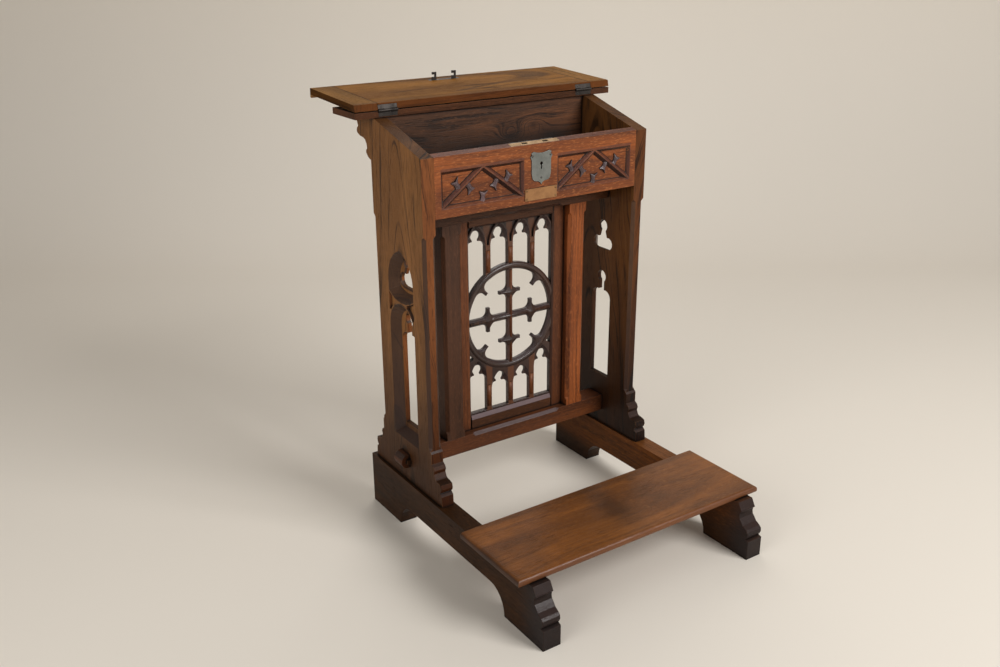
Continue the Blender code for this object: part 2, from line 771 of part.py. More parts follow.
def sled_foot(word, side):
    """A sled foot under a side panel."""
    outer = side * (HALF_WIDTH + SLED_PROUD)
    inner = outer - side * SLED_THICKNESS
    foot = slab(word + "_sled_foot", sled_outline(), SIDE_PLANE, min(inner, outer), max(inner, outer))
    return adopt(foot, OAK_DARK)


def kneeler_board():
    """The kneeling board, rounded along its front and ends."""
    bottom = SLED_HEIGHT + GAP
    top = bottom + KNEELER_THICKNESS
    rear = KNEELER_DEPTH - KNEELER_FRONT
    board = block("kneeler_board", (-KNEELER_HALF, KNEELER_HALF), (-KNEELER_FRONT, rear), (bottom, top))

    def rim(edge, height):
        middle = (edge.verts[0].co + edge.verts[1].co) / 2
        at_height = abs(middle.z - height) < SKIN
        return at_height and middle.y < rear - SKIN

    soften(board, lambda edge: rim(edge, top), KNEELER_NOSE, CURVE_STEPS)
    soften(board, lambda edge: rim(edge, bottom), KNEELER_BOTTOM_ROUND, CURVE_STEPS - 2)
    return adopt(board, OAK_KNEELER)


# Stretcher, rail and posts


def lower_stretcher():
    """The stretcher, tenoned through both panels."""
    name = "lower_stretcher"
    half = INNER_FACE - GAP
    bar = block(name, (-half, half), (FRAMING_SETBACK, FRAMING_BACK), (STRETCHER_BOTTOM, STRETCHER_TOP))
    radius = TENON_HEIGHT / 2
    nose = HALF_WIDTH + TENON_REACH - radius
    right = arc((nose, TENON_CENTRE_HEIGHT), radius, -QUARTER, QUARTER, NOSE_STEPS)
    left = arc((-nose, TENON_CENTRE_HEIGHT), radius, QUARTER, 3 * QUARTER, NOSE_STEPS)
    depths, _heights = tenon_spans(0)
    join(bar, slab(name + "_tenons", right + left, FRONT_PLANE, *depths))
    for side in (-1, 1):
        near = side * HALF_WIDTH
        far = side * (HALF_WIDTH + WEDGE_WIDTH + 2 * GAP)
        depths = (FRAMING_SETBACK, FRAMING_BACK)
        cut(bar, block(name + "_wedge_hole", (near, far), depths, wedge_heights(GAP)))
    start = Vector((-RAIL_CHAMFER_HALF, FRAMING_SETBACK, STRETCHER_TOP))
    end = Vector((RAIL_CHAMFER_HALF, FRAMING_SETBACK, STRETCHER_TOP))
    cut(bar, chamfer_cutter(name + "_chamfer", start, end, FRAMING_CHAMFER))
    return adopt(bar, OAK_FRONT)


def wedge_heights(room):
    """The wedge's extent in height, with room round it."""
    half = WEDGE_HEIGHT / 2 + room
    return TENON_CENTRE_HEIGHT - half, TENON_CENTRE_HEIGHT + half


def tenon_wedge(word, side):
    """The wedge that draws a tenon tight."""
    near = HALF_WIDTH + GAP
    front = TENON_CENTRE_DEPTH - WEDGE_LENGTH / 2
    back = TENON_CENTRE_DEPTH + WEDGE_LENGTH / 2
    thick = near + WEDGE_WIDTH
    flat = [(near, front), (thick, front), (thick - WEDGE_TAPER, back), (near, back)]
    outline = [(side * across_place, along) for across_place, along in flat]
    return adopt(slab(word + "_tenon_wedge", outline, LEVEL_PLANE, *wedge_heights(0)), OAK_DARK)


def upper_rail():
    """The rail under the book box."""
    half = INNER_FACE - GAP
    heights = (RAIL_BOTTOM, FRONT_BOTTOM - GAP)
    rail = block("upper_rail", (-half, half), (FRAMING_SETBACK, FRAMING_BACK), heights)
    start = Vector((-RAIL_CHAMFER_HALF, FRAMING_SETBACK, RAIL_BOTTOM))
    end = Vector((RAIL_CHAMFER_HALF, FRAMING_SETBACK, RAIL_BOTTOM))
    cut(rail, chamfer_cutter("upper_rail_chamfer", start, end, FRAMING_CHAMFER))
    return adopt(rail, OAK_FRONT)


def post(word, side):
    """A post beside the grille, with stopped chamfers."""
    name = word + "_post"
    near = side * GRILLE_HALF
    far = side * (GRILLE_HALF + POST_WIDTH)
    upright_post = block(name, (near, far), (FRAMING_SETBACK, FRAMING_BACK), (GRILLE_BOTTOM, GRILLE_TOP))
    for place in (near, far):
        start = Vector((place, FRAMING_SETBACK, GRILLE_BOTTOM + POST_STOP_BELOW))
        end = Vector((place, FRAMING_SETBACK, GRILLE_TOP - POST_STOP_ABOVE))
        cut(upright_post, chamfer_cutter(name + "_chamfer", start, end, FRAMING_CHAMFER))
    return adopt(upright_post, OAK_FRONT)


# Grille


def grille_stile(word, side):
    """A stile of the grille frame, rebated behind for the tracery."""
    lip = GRILLE_SETBACK + GRILLE_LIP
    back = GRILLE_SETBACK + GRILLE_THICKNESS
    outside = GRILLE_HALF - GAP
    rebate = OPENING_HALF + GRILLE_REBATE
    flat = [
        (outside, GRILLE_SETBACK),
        (outside, back),
        (rebate, back),
        (rebate, lip),
        (OPENING_HALF, lip),
        (OPENING_HALF, GRILLE_SETBACK + GRILLE_LIP_CHAMFER),
        (OPENING_HALF + GRILLE_LIP_CHAMFER, GRILLE_SETBACK),
    ]
    outline = [(side * across_place, along) for across_place, along in flat]
    stile = slab("grille_" + word + "_stile", outline, LEVEL_PLANE, GRILLE_BOTTOM + GAP, GRILLE_TOP - GAP)
    return adopt(stile, OAK_FRONT)


def grille_rail(word, outside, inside, splay, way):
    """A rail of the grille frame, splayed in front and rebated behind."""
    lip = GRILLE_SETBACK + GRILLE_LIP
    back = GRILLE_SETBACK + GRILLE_THICKNESS
    outline = [
        (GRILLE_SETBACK, outside),
        (GRILLE_SETBACK, inside - way * splay),
        (GRILLE_SETBACK + GRILLE_LIP_CHAMFER, inside),
        (lip, inside),
        (lip, inside - way * GRILLE_REBATE),
        (back, inside - way * GRILLE_REBATE),
        (back, outside),
    ]
    half = OPENING_HALF - GAP
    return adopt(slab("grille_" + word + "_rail", outline, SIDE_PLANE, -half, half), OAK_FRONT)


def spur(middle, base):
    """Points of a blunt spur with hollow flanks, standing on a level base."""
    reach = SPUR_HALF + SPUR_FLANK
    tip = base + SPUR_LENGTH
    left = arc((middle - reach, base + SPUR_FLANK), SPUR_FLANK, -QUARTER, 0)
    right = arc((middle + reach, base + SPUR_FLANK), SPUR_FLANK, 2 * QUARTER, 3 * QUARTER)
    return left + [(middle - SPUR_HALF, tip), (middle + SPUR_HALF, tip)] + right


def quadrant_outline(right, up):
    """One quarter of the ring: between two bars, with a spur on each bar and one on the ring."""
    bar = BAR_WIDTH / 2
    crossbar = CROSSBAR_HEIGHT / 2
    level = spur(SPUR_PLACE, crossbar)
    plumb = [(along, out) for out, along in spur(SPUR_PLACE, bar)]
    inner = RING_INNER - SPUR_FLANK
    reach = SPUR_HALF + SPUR_FLANK
    seat = math.sqrt(inner * inner - reach * reach)
    lean = math.atan2(reach, seat)
    tip = RING_INNER - RING_SPUR_REACH
    first = arc((0, 0), RING_INNER, math.asin(crossbar / RING_INNER), QUARTER / 2 - lean)
    last = arc((0, 0), RING_INNER, QUARTER / 2 + lean, math.acos(bar / RING_INNER))
    near = [(seat + out, along - reach) for out, along in arc((0, 0), SPUR_FLANK, -lean, QUARTER)]
    near_side = near + [(tip, -SPUR_HALF)]
    far_side = [(out, -along) for out, along in reversed(near_side)]
    turn = Matrix.Rotation(QUARTER / 2, 2)
    ring_spur = [tuple(turn @ Vector(place)) for place in near_side + far_side]
    outline = [(bar, crossbar)] + level + first + ring_spur + last + list(reversed(plumb))
    return [(right * across_place, RING_HEIGHT + up * rise) for across_place, rise in outline]


def upper_light_outline(centre):
    """A light above the ring, up to its springing."""
    left = centre - LIGHT_HALF
    right = centre + LIGHT_HALF
    feet = []
    for step in range(ARC_STEPS + 1):
        place = left + (right - left) * step / ARC_STEPS
        feet.append((place, RING_HEIGHT + math.sqrt(RING_OUTER * RING_OUTER - place * place)))
    return feet + [(right, UPPER_SPRING), (left, UPPER_SPRING)]


def head_cutters(name, centre, foot, spring, rise, front, low, high):
    """The splayed arch of a light's head, and its cusped hole."""
    arch = lancet(centre, LIGHT_HALF + LIGHT_EASE, foot - HEAD_SPLAY, spring, rise)
    hole = cusped_light(
        centre,
        LIGHT_HALF,
        foot,
        spring - HEAD_SHOULDER_DROP,
        HEAD_NECK_HALF,
        HEAD_SHOULDER_RADIUS,
        spring + HEAD_LOBE_RISE,
        HEAD_LOBE_RADIUS,
    )
    splayed = sink_cutter(name + "_arch", arch, FRONT_PLANE, front, HEAD_SPLAY, HEAD_SPLAY)
    return splayed, slab(name + "_head", hole, FRONT_PLANE, low, high)


def arch_back(centre, side, start, end):
    """Points up the back of an upper light's arch, a rib's width outside its opening."""
    half = LIGHT_HALF + LIGHT_EASE
    radius = (half * half + HEAD_RISE * HEAD_RISE) / (2 * half)
    outline = arc((half - radius, UPPER_SPRING), radius + ARCH_RIB, start, end)
    return [(centre + side * out, up) for out, up in outline]


def head_spandrels():
    """Outlines of the sunk spandrels between the upper arches and beside the outer ones."""
    half = LIGHT_HALF + LIGHT_EASE
    radius = (half * half + HEAD_RISE * HEAD_RISE) / (2 * half)
    crown = math.asin((OPENING_TOP - UPPER_SPRING) / (radius + ARCH_RIB))
    outlines = []
    for index in range(LIGHT_COUNT - 1):
        centre = LIGHT_PITCH * (index - LIGHT_MIDDLE)
        near = arch_back(centre, 1, 0, crown)
        outlines.append(near + arch_back(centre + LIGHT_PITCH, -1, crown, 0))
    centre = LIGHT_PITCH * LIGHT_MIDDLE
    edge = OPENING_HALF + GRILLE_REBATE / 2
    start = math.acos((edge - centre + radius - half) / (radius + ARCH_RIB))
    corner = arch_back(centre, 1, start, crown) + [(edge, OPENING_TOP)]
    outlines.append(corner)
    outlines.append([(-out, up) for out, up in corner])
    return outlines


def tracery_panel():
    """The pierced tracery: cusped lights over and under a ring crossed by two bars, with sunk spandrels."""
    name = "tracery_panel"
    front = GRILLE_SETBACK + GRILLE_LIP + GAP
    back = front + TRACERY_THICKNESS
    low = front - OVERRUN
    high = back + OVERRUN
    half = OPENING_HALF + GRILLE_REBATE - GAP
    bottom = OPENING_BOTTOM - GRILLE_REBATE + GAP
    top = OPENING_TOP + GRILLE_REBATE - GAP
    panel = block(name, (-half, half), (front, back), (bottom, top))
    for index in range(LIGHT_COUNT):
        centre = LIGHT_PITCH * (index - LIGHT_MIDDLE)
        label = name + "_light_" + str(index + 1)
        outer_light = index in (0, LIGHT_COUNT - 1)
        spring = OUTER_SPRING if outer_light else INNER_SPRING
        rise = HEAD_RISE if outer_light else INNER_HEAD_RISE
        lower = [
            (centre - LIGHT_HALF, LIGHTS_SILL),
            (centre + LIGHT_HALF, LIGHTS_SILL),
            (centre + LIGHT_HALF, spring),
            (centre - LIGHT_HALF, spring),
        ]
        for outline in (upper_light_outline(centre), lower):
            cut(panel, slab(label, outline, FRONT_PLANE, low, high))
            cut(panel, arris_cutter(label + "_arris", outline, FRONT_PLANE, front, LIGHT_EASE))
        foot = UPPER_SPRING - HEAD_FOOT
        cut(panel, *head_cutters(label + "_upper", centre, foot, UPPER_SPRING, HEAD_RISE, front, low, high))
        foot = spring - HEAD_FOOT
        cut(panel, *head_cutters(label + "_lower", centre, foot, spring, rise, front, low, high))
    for outline in head_spandrels():
        cut(panel, sink_cutter(name + "_spandrel", outline, FRONT_PLANE, front, HEAD_SINK, HEAD_SINK_SPLAY))
    for right in (-1, 1):
        for up in (-1, 1):
            outline = quadrant_outline(right, up)
            cut(panel, slab(name + "_quarter", outline, FRONT_PLANE, low, high))
            cut(panel, arris_cutter(name + "_quarter_arris", outline, FRONT_PLANE, front, SPUR_CHAMFER))
        corner_top = RING_HEIGHT - CORNER_HOLE_FALL
        outline = [
            (right * OPENING_HALF, corner_top),
            (right * (OPENING_HALF - CORNER_HOLE_LEG), corner_top - CORNER_HOLE_LEG),
            (right * OPENING_HALF, corner_top - CORNER_HOLE_DROP),
        ]
        cut(panel, slab(name + "_corner", outline, FRONT_PLANE, low, high))
    return adopt(panel, OAK_TRACERY)


# Book box


def recess_sinks(side):
    """Outlines of a carved recess: a gable and the two corners over its rafters."""
    inner = RECESS_INNER
    outer = RECESS_OUTER
    middle = (inner + outer) / 2
    ridge = RAFTER_RIDGE
    slope = (RECESS_TOP - RECESS_BOTTOM) / (middle - inner)
    shift = ridge * math.sqrt(1 + slope * slope) / slope
    peak = RECESS_TOP - shift * slope
    gable = [(inner + shift, RECESS_BOTTOM), (outer - shift, RECESS_BOTTOM), (middle, peak)]
    near = [(inner, RECESS_BOTTOM + shift), (middle - shift, RECESS_TOP), (inner, RECESS_TOP)]
    far = [(outer, RECESS_BOTTOM + shift), (outer, RECESS_TOP), (middle + shift, RECESS_TOP)]
    return [[(side * across_place, rise) for across_place, rise in outline] for outline in (gable, near, far)]


def tapered(root, way, half, rise):
    """A small spur on a line through its root, half as wide at its tip."""
    wide = way * half
    narrow = wide / 2
    return [root - wide, root + wide, root + rise + narrow, root + rise - narrow]


def carved_spurs(side):
    """Outlines of the crockets and cusps that stand in a carved recess."""
    inner = RECESS_INNER
    outer = RECESS_OUTER
    middle = (inner + outer) / 2
    spurs = []
    for foot in (inner, outer):
        rafter = Vector((middle - foot, RECESS_TOP - RECESS_BOTTOM))
        way = rafter.normalized()
        up = Vector((-way.y, way.x)) if way.x > 0 else Vector((way.y, -way.x))
        for share, length in ((CROCKET_PLACE_SHARE, CROCKET_LENGTH), (CUSP_PLACE_SHARE, -CUSP_LENGTH)):
            root = Vector((foot, RECESS_BOTTOM)) + rafter * share
            spurs.append(tapered(root, way, CROCKET_HALF, up * length))
    base = Vector((middle, RECESS_BOTTOM))
    spurs.append(tapered(base, Vector((1, 0)), BASE_CUSP_HALF, Vector((0, BASE_CUSP_HEIGHT))))
    return [[(side * place.x, place.y) for place in outline] for outline in spurs]


def keyhole_outline():
    """A round-headed keyhole."""
    tuck = math.asin(KEYHOLE_HALF / KEYHOLE_RADIUS)
    head = arc((0, KEYHOLE_HEIGHT), KEYHOLE_RADIUS, tuck - QUARTER, 3 * QUARTER - tuck, 2 * ARC_STEPS)
    foot = KEYHOLE_HEIGHT - KEYHOLE_DROP
    return head + [(-KEYHOLE_HALF, foot), (KEYHOLE_HALF, foot)]


def box_front():
    """The carved front board, bevelled along the desk slope."""
    name = "box_front"
    half = INNER_FACE - GAP
    outline = [
        (0, FRONT_BOTTOM),
        (BOARD_THICKNESS, FRONT_BOTTOM),
        (BOARD_THICKNESS, slope_height(BOARD_THICKNESS)),
        (0, slope_height(0)),
    ]
    board = slab(name, outline, SIDE_PLANE, -half, half)
    for side in (-1, 1):
        for sink in recess_sinks(side):
            cut(board, sink_cutter(name + "_sink", sink, FRONT_PLANE, 0, RECESS_DEPTH, RECESS_DEPTH))
        for outline in carved_spurs(side):
            depths = (CARVING_SETBACK, BOARD_THICKNESS - CARVING_SETBACK)
            join(board, slab(name + "_spur", outline, FRONT_PLANE, *depths, CROCKET_SPLAY))
    left = CASE_END - SELVEDGE_LEFT - GAP
    right = SELVEDGE_RIGHT - CASE_END + GAP
    depths = (CASE_FRONT - GAP, BOARD_THICKNESS + OVERRUN)
    foot_half = CASE_FOOT_HALF + GAP
    foot_heights = (CASE_BOTTOM - GAP, CASE_STEP + GAP)
    cut(board, block(name + "_lock_mortise", (left, right), depths, (CASE_STEP - GAP, AXIS_HEIGHT)))
    cut(board, block(name + "_lock_foot", (-foot_half, foot_half), depths, foot_heights))
    plate = selvedge_block(name + "_selvedge_seat", GAP, OVERRUN)
    cut(board, upright(plate))
    cut(board, slab(name + "_keyhole", keyhole_outline(), FRONT_PLANE, -OVERRUN, CASE_FRONT))
    return adopt(board, OAK_FRONT)


def box_back():
    """The back board of the book box."""
    half = INNER_FACE - GAP
    board = block("box_back", (-half, half), (BOX_BACK_FRONT, PANEL_DEPTH), (FRONT_BOTTOM, PANEL_TOP))
    return adopt(board, OAK_LID)


def box_floor():
    """The floor of the book box."""
    half = INNER_FACE - GAP
    depths = (BOARD_THICKNESS + GAP, BOX_BACK_FRONT - GAP)
    board = block("box_floor", (-half, half), depths, (FRONT_BOTTOM, FRONT_BOTTOM + FLOOR_THICKNESS))
    return adopt(board, OAK_LID)


# Shelf, lid and hinges


def barrel_room(name, centre, drawn_upright):
    """The hollow that clears a hinge barrel along an arris."""
    half = HINGE_WIDTH / 2 + GAP
    radius = BARREL_RADIUS + BARREL_CLEARANCE
    setback = AXIS_SETBACK if drawn_upright else 0
    height = AXIS_HEIGHT if drawn_upright else 0
    start = Vector((centre - half, setback, height))
    end = Vector((centre + half, setback, height))
    return rod(name, start, end, radius)


def leaf_spans(way, room):
    """Depth and height of a hinge leaf let into an edge, in the closed position."""
    face = AXIS_SETBACK + way * ARRIS_OFFSET
    depths = (face - way * (OVERRUN if room else 0), face + way * (HINGE_LEAF_THICKNESS + room))
    heights = (AXIS_HEIGHT - HINGE_LEAF_HEIGHT - room, AXIS_HEIGHT + (OVERRUN if room else 0))
    return depths, heights


def top_shelf():
    """The narrow shelf behind the desk, let in for the hinges."""
    name = "top_shelf"
    front = AXIS_SETBACK + ARRIS_OFFSET
    shelf = block(name, (-SHELF_HALF, SHELF_HALF), (front, front + SHELF_DEPTH), (SHELF_BOTTOM, SHELF_TOP))
    for side in (-1, 1):
        centre = side * HINGE_CENTRE
        half = HINGE_WIDTH / 2 + GAP
        depths, heights = leaf_spans(1, GAP)
        cut(shelf, block(name + "_leaf_seat", (centre - half, centre + half), depths, heights))
        cut(shelf, barrel_room(name + "_barrel_room", centre, True))
    return adopt(shelf, OAK_LID)


def hinge_knuckles(fixed):
    """Where a leaf's knuckles lie along the barrel."""
    half = HINGE_WIDTH / 2
    centre_half = HINGE_WIDTH * CENTRE_KNUCKLE_SHARE / 2
    if fixed:
        return [(-half, -centre_half - GAP), (centre_half + GAP, half)]
    return [(-centre_half, centre_half)]


def hinge_leaf(word, side, fixed):
    """One leaf of a hinge: a plate on the edge, with its knuckles round the pin."""
    name = word + ("_hinge_shelf_leaf" if fixed else "_hinge_lid_leaf")
    way = 1 if fixed else -1
    centre = side * HINGE_CENTRE
    half = HINGE_WIDTH / 2
    depths, heights = leaf_spans(way, 0)
    plate = block(name, (centre - half, centre + half), depths, heights)
    clear = (centre - half - OVERRUN, centre + half + OVERRUN)
    rest = [block(name + "_clearance", clear, leaf_depths(), top_heights())]
    barrels = []
    for low, high in hinge_knuckles(fixed):
        start = Vector((centre + low, AXIS_SETBACK, AXIS_HEIGHT))
        end = Vector((centre + high, AXIS_SETBACK, AXIS_HEIGHT))
        barrels.append(rod(name + "_knuckle", start, end, BARREL_RADIUS))
        web = (AXIS_SETBACK, AXIS_SETBACK + way * (ARRIS_OFFSET + HINGE_LEAF_THICKNESS / 2))
        web_heights = (AXIS_HEIGHT - BARREL_RADIUS - BARREL_CLEARANCE - GAP * 2, AXIS_HEIGHT)
        barrels.append(block(name + "_web", (centre + low, centre + high), web, web_heights))
    bore = rod(
        name + "_bore",
        Vector((centre - half - OVERRUN, AXIS_SETBACK, AXIS_HEIGHT)),
        Vector((centre + half + OVERRUN, AXIS_SETBACK, AXIS_HEIGHT)),
        PIN_RADIUS + GAP,
    )
    if not fixed:
        for shape in [plate, bore] + rest + barrels:
            shape.data.transform(CLOSED_FRAME.inverted())
        plate.parent = LID_AXIS
    cut(plate, *rest)
    join(plate, *barrels)
    cut(plate, bore)
    return metal(plate, IRON_DARK)


def leaf_depths():
    """Depths that cover a whole leaf."""
    return AXIS_SETBACK - OVERRUN * 2, AXIS_SETBACK + OVERRUN * 2


def top_heights():
    """Heights of the barrel zone, where only the knuckles stay."""
    return AXIS_HEIGHT - BARREL_RADIUS - BARREL_CLEARANCE, AXIS_HEIGHT + OVERRUN * 2


def hinge_pin(word, side):
    """A hinge's pin."""
    centre = side * HINGE_CENTRE
    half = HINGE_WIDTH / 2 + PIN_PROUD
    start = Vector((centre - half, AXIS_SETBACK, AXIS_HEIGHT))
    end = Vector((centre + half, AXIS_SETBACK, AXIS_HEIGHT))
    return metal(rod(word + "_hinge_pin", start, end, PIN_RADIUS), IRON_DARK)


def lid_section():
    """The lid in section, in its own frame: its hinge edge is plumb when it is shut."""
    upper = -(ARRIS_OFFSET / math.cos(SLOPE)) + LID_TOP * math.tan(SLOPE)
    lower = -(ARRIS_OFFSET / math.cos(SLOPE)) + LID_UNDER * math.tan(SLOPE)
    return [(-LID_LENGTH, LID_UNDER), (lower, LID_UNDER), (upper, LID_TOP), (-LID_LENGTH, LID_TOP)]


def lid_panel():
    """The lid's main board."""
    name = "lid_panel"
    board = slab(name, lid_section(), SIDE_PLANE, -LID_PANEL_HALF, LID_PANEL_HALF)
    board.parent = LID_AXIS
    for side in (-1, 1):
        centre = side * HINGE_CENTRE
        half = HINGE_WIDTH / 2 + GAP
        depths, heights = leaf_spans(-1, GAP)
        seat = block(name + "_leaf_seat", (centre - half, centre + half), depths, heights)
        seat.data.transform(CLOSED_FRAME.inverted())
        cut(board, seat, barrel_room(name + "_barrel_room", centre, False))
    left = LUG_PLACES[0] - LUG_WIDTH / 2 - LINK_PLATE_END - GAP
    right = LUG_PLACES[1] + LUG_WIDTH / 2 + LINK_PLATE_END + GAP
    near = LINK_PLATE_HALF + GAP - LUG_CENTRE
    far = -LINK_PLATE_HALF - GAP - LUG_CENTRE
    depth = LID_UNDER + LINK_PLATE_THICKNESS + GAP
    cut(board, block(name + "_link_seat", (left, right), (far, near), (LID_UNDER - OVERRUN, depth)))
    return adopt(board, OAK_LID)


def lid_cleat(word, side):
    """A cleat across an end of the lid."""
    near = side * (LID_PANEL_HALF + GAP)
    far = side * SHELF_HALF
    cleat = slab("lid_" + word + "_cleat", lid_section(), SIDE_PLANE, min(near, far), max(near, far))
    cleat.parent = LID_AXIS
    return adopt(cleat, OAK_LID)


def lid_book_lip():
    """The low lip along the lid's lower edge, hollowed towards the book."""
    bottom = LID_TOP + GAP
    top = bottom + LIP_HEIGHT
    hollow = LIP_WIDTH - LIP_TOP_FLAT
    outline = [(-LID_LENGTH, bottom), (LIP_WIDTH - LID_LENGTH, bottom)]
    for step in range(1, ARC_STEPS + 1):
        turn = QUARTER * step / ARC_STEPS
        outline.append((LIP_WIDTH - LID_LENGTH - hollow * math.sin(turn), top - LIP_HEIGHT * math.cos(turn)))
    outline.append((LIP_TOP_ROUND - LID_LENGTH, top))
    outline.append((-LID_LENGTH, top - LIP_TOP_ROUND))
    lip = slab("lid_book_lip", outline, SIDE_PLANE, -SHELF_HALF, SHELF_HALF)
    lip.parent = LID_AXIS
    return adopt(lip, OAK_LID)


# Lock


def link_plate():
    """The plate under the lid with the two notched lugs that the bolt takes hold of."""
    name = "link_plate"
    left = LUG_PLACES[0] - LUG_WIDTH / 2 - LINK_PLATE_END
    right = LUG_PLACES[1] + LUG_WIDTH / 2 + LINK_PLATE_END
    depths = (-LINK_PLATE_HALF - LUG_CENTRE, LINK_PLATE_HALF - LUG_CENTRE)
    plate = block(name, (left, right), depths, (LID_UNDER, LID_UNDER + LINK_PLATE_THICKNESS))
    plate.parent = LID_AXIS
    lug_depths = (-LUG_CENTRE - LUG_THICKNESS / 2, LUG_THICKNESS / 2 - LUG_CENTRE)
    for place in LUG_PLACES:
        span = (place - LUG_WIDTH / 2, place + LUG_WIDTH / 2)
        heights = (LID_UNDER - LUG_HEIGHT, LID_UNDER + LINK_PLATE_THICKNESS / 2)
        join(plate, block(name + "_lug", span, lug_depths, heights))
        notch = (place - LUG_WIDTH / 2 - OVERRUN, place - LUG_WIDTH / 2 + LUG_NOTCH_DEPTH)
        notch_top = LID_UNDER - LUG_NOTCH_DROP
        wide = (lug_depths[0] - OVERRUN, lug_depths[1] + OVERRUN)
        cut(plate, block(name + "_notch", notch, wide, (notch_top - LUG_NOTCH_HEIGHT, notch_top)))
    return metal(plate, IRON_DARK)


def selvedge_block(name, room, over):
    """The selvedge's block along the desk slope, with room round it."""
    span = (-SELVEDGE_LEFT - room, SELVEDGE_RIGHT + room)
    depths = (-SELVEDGE_FAR - room, room - SELVEDGE_NEAR)
    heights = (SLOPE_PLANE - SELVEDGE_THICKNESS - room, SLOPE_PLANE + over)
    return block(name, span, depths, heights)


def slot_block(name, place, heights):
    """The slot that a lug drops through."""
    span = (place - SLOT_LENGTH / 2, place + SLOT_LENGTH / 2)
    return block(name, span, (-SLOT_FAR, -SLOT_NEAR), heights)


def lock_selvedge():
    """The brass plate in the bevelled edge, slotted for the lugs."""
    name = "lock_selvedge"
    plate = selvedge_block(name, 0, 0)
    plate.parent = DESK_SLOPE
    for place in LUG_PLACES:
        heights = (SLOPE_PLANE - SELVEDGE_THICKNESS - OVERRUN, SLOPE_PLANE + OVERRUN)
        cut(plate, slot_block(name + "_slot", place, heights))
    return metal(plate, BRASS_PALE)


def lock_case():
    """The lock's body in its mortise, with a channel for the bolt."""
    name = "lock_case"
    left = CASE_END - SELVEDGE_LEFT
    right = SELVEDGE_RIGHT - CASE_END
    under = SLOPE_PLANE - SELVEDGE_THICKNESS - GAP
    outline = [
        (CASE_FRONT, CASE_STEP),
        (CASE_BACK, CASE_STEP),
        (CASE_BACK, slope_height(CASE_BACK, under)),
        (CASE_FRONT, slope_height(CASE_FRONT, under)),
    ]
    case = slab(name, outline, SIDE_PLANE, left, right)
    foot = (-CASE_FOOT_HALF, CASE_FOOT_HALF)
    join(case, block(name + "_foot", foot, (CASE_FRONT, CASE_BACK), (CASE_BOTTOM, CASE_STEP + CASE_WALL)))
    chamber_floor = LID_UNDER - BOLT_BAR_DROP + GAP
    span = (left + CASE_WALL, right - CASE_WALL)
    chamber = block(name + "_chamber", span, (-SLOT_FAR, -SLOT_NEAR), (chamber_floor, under - CASE_WALL))
    half = BOLT_THICKNESS / 2 + GAP
    channel_floor = LID_UNDER - BOLT_BAR_DROP - BOLT_BAR_HEIGHT - GAP
    channel_depths = (-LUG_CENTRE - half, half - LUG_CENTRE)
    channel = block(name + "_channel", span, channel_depths, (channel_floor, chamber_floor + GAP))
    cut(case, upright(chamber), upright(channel))
    for place in LUG_PLACES:
        cut(case, upright(slot_block(name + "_slot", place, (under - CASE_WALL - GAP, under + OVERRUN))))
    works = (CASE_FRONT + CASE_WALL, CASE_BACK + OVERRUN)
    works_span = (CASE_WALL - CASE_FOOT_HALF, CASE_FOOT_HALF - CASE_WALL)
    works_heights = (CASE_BOTTOM + CASE_WALL, KEYHOLE_HEIGHT + WORKS_RISE)
    cut(case, block(name + "_works", works_span, works, works_heights))
    hole_depths = (CASE_FRONT - OVERRUN, CASE_FRONT + CASE_WALL * 2)
    cut(case, slab(name + "_keyhole", keyhole_outline(), FRONT_PLANE, *hole_depths))
    return metal(case, IRON_DARK)


def lock_bolt():
    """The bolt: a sliding bar with an upright and a tooth for each lug."""
    name = "lock_bolt"
    depths = (-LUG_CENTRE - BOLT_THICKNESS / 2, BOLT_THICKNESS / 2 - LUG_CENTRE)
    tooth_top = LID_UNDER - LUG_NOTCH_DROP - TOOTH_CLEARANCE
    tooth_bottom = LID_UNDER - LUG_NOTCH_DROP - LUG_NOTCH_HEIGHT + TOOTH_CLEARANCE
    bar_top = LID_UNDER - BOLT_BAR_DROP
    bar_bottom = bar_top - BOLT_BAR_HEIGHT
    posts = []
    for place in LUG_PLACES:
        tip = place - LUG_WIDTH / 2 - BOLT_CLEARANCE
        root = tip - TOOTH_LENGTH
        posts.append((root - BOLT_POST_WIDTH, root, tip))
    outline = [(posts[0][0], bar_bottom), (posts[-1][1] + BOLT_POST_WIDTH, bar_bottom)]
    outline.append((posts[-1][1] + BOLT_POST_WIDTH, bar_top))
    for back, root, tip in reversed(posts[1:]):
        outline += [(root, bar_top), (root, tooth_bottom), (tip, tooth_bottom), (tip, tooth_top)]
        outline += [(back, tooth_top), (back, bar_top)]
    back, root, tip = posts[0]
    outline += [(root, bar_top), (root, tooth_bottom), (tip, tooth_bottom)]
    outline += [(tip, tooth_top), (back, tooth_top)]
    bolt = slab(name, outline, FRONT_PLANE, *depths)
    bolt.parent = DESK_SLOPE
    return metal(bolt, IRON_DARK)


# Escutcheon and nameplate


def escutcheon():
    """The shield over the keyhole."""
    name = "escutcheon"
    right = []
    for out, up in ESCUTCHEON_SHARES:
        right.append((ESCUTCHEON_HALF * out, ESCUTCHEON_TIP + ESCUTCHEON_HEIGHT * up))
    left = [(-across_place, rise) for across_place, rise in reversed(right[1:-1])]
    plate = slab(name, right + left, FRONT_PLANE, -PLATE_THICKNESS - GAP, -GAP)
    cut(plate, slab(name + "_keyhole", keyhole_outline(), FRONT_PLANE, -OVERRUN, OVERRUN))
    return metal(plate, STEEL_GREY)


def nameplate():
    """The small bare plate under the lock."""
    span = (-NAMEPLATE_HALF, NAMEPLATE_HALF)
    heights = (NAMEPLATE_BOTTOM, NAMEPLATE_BOTTOM + NAMEPLATE_HEIGHT)
    plate = block("nameplate", span, (-PLATE_THICKNESS - GAP, -GAP), heights)
    return metal(plate, BRASS_DULL)


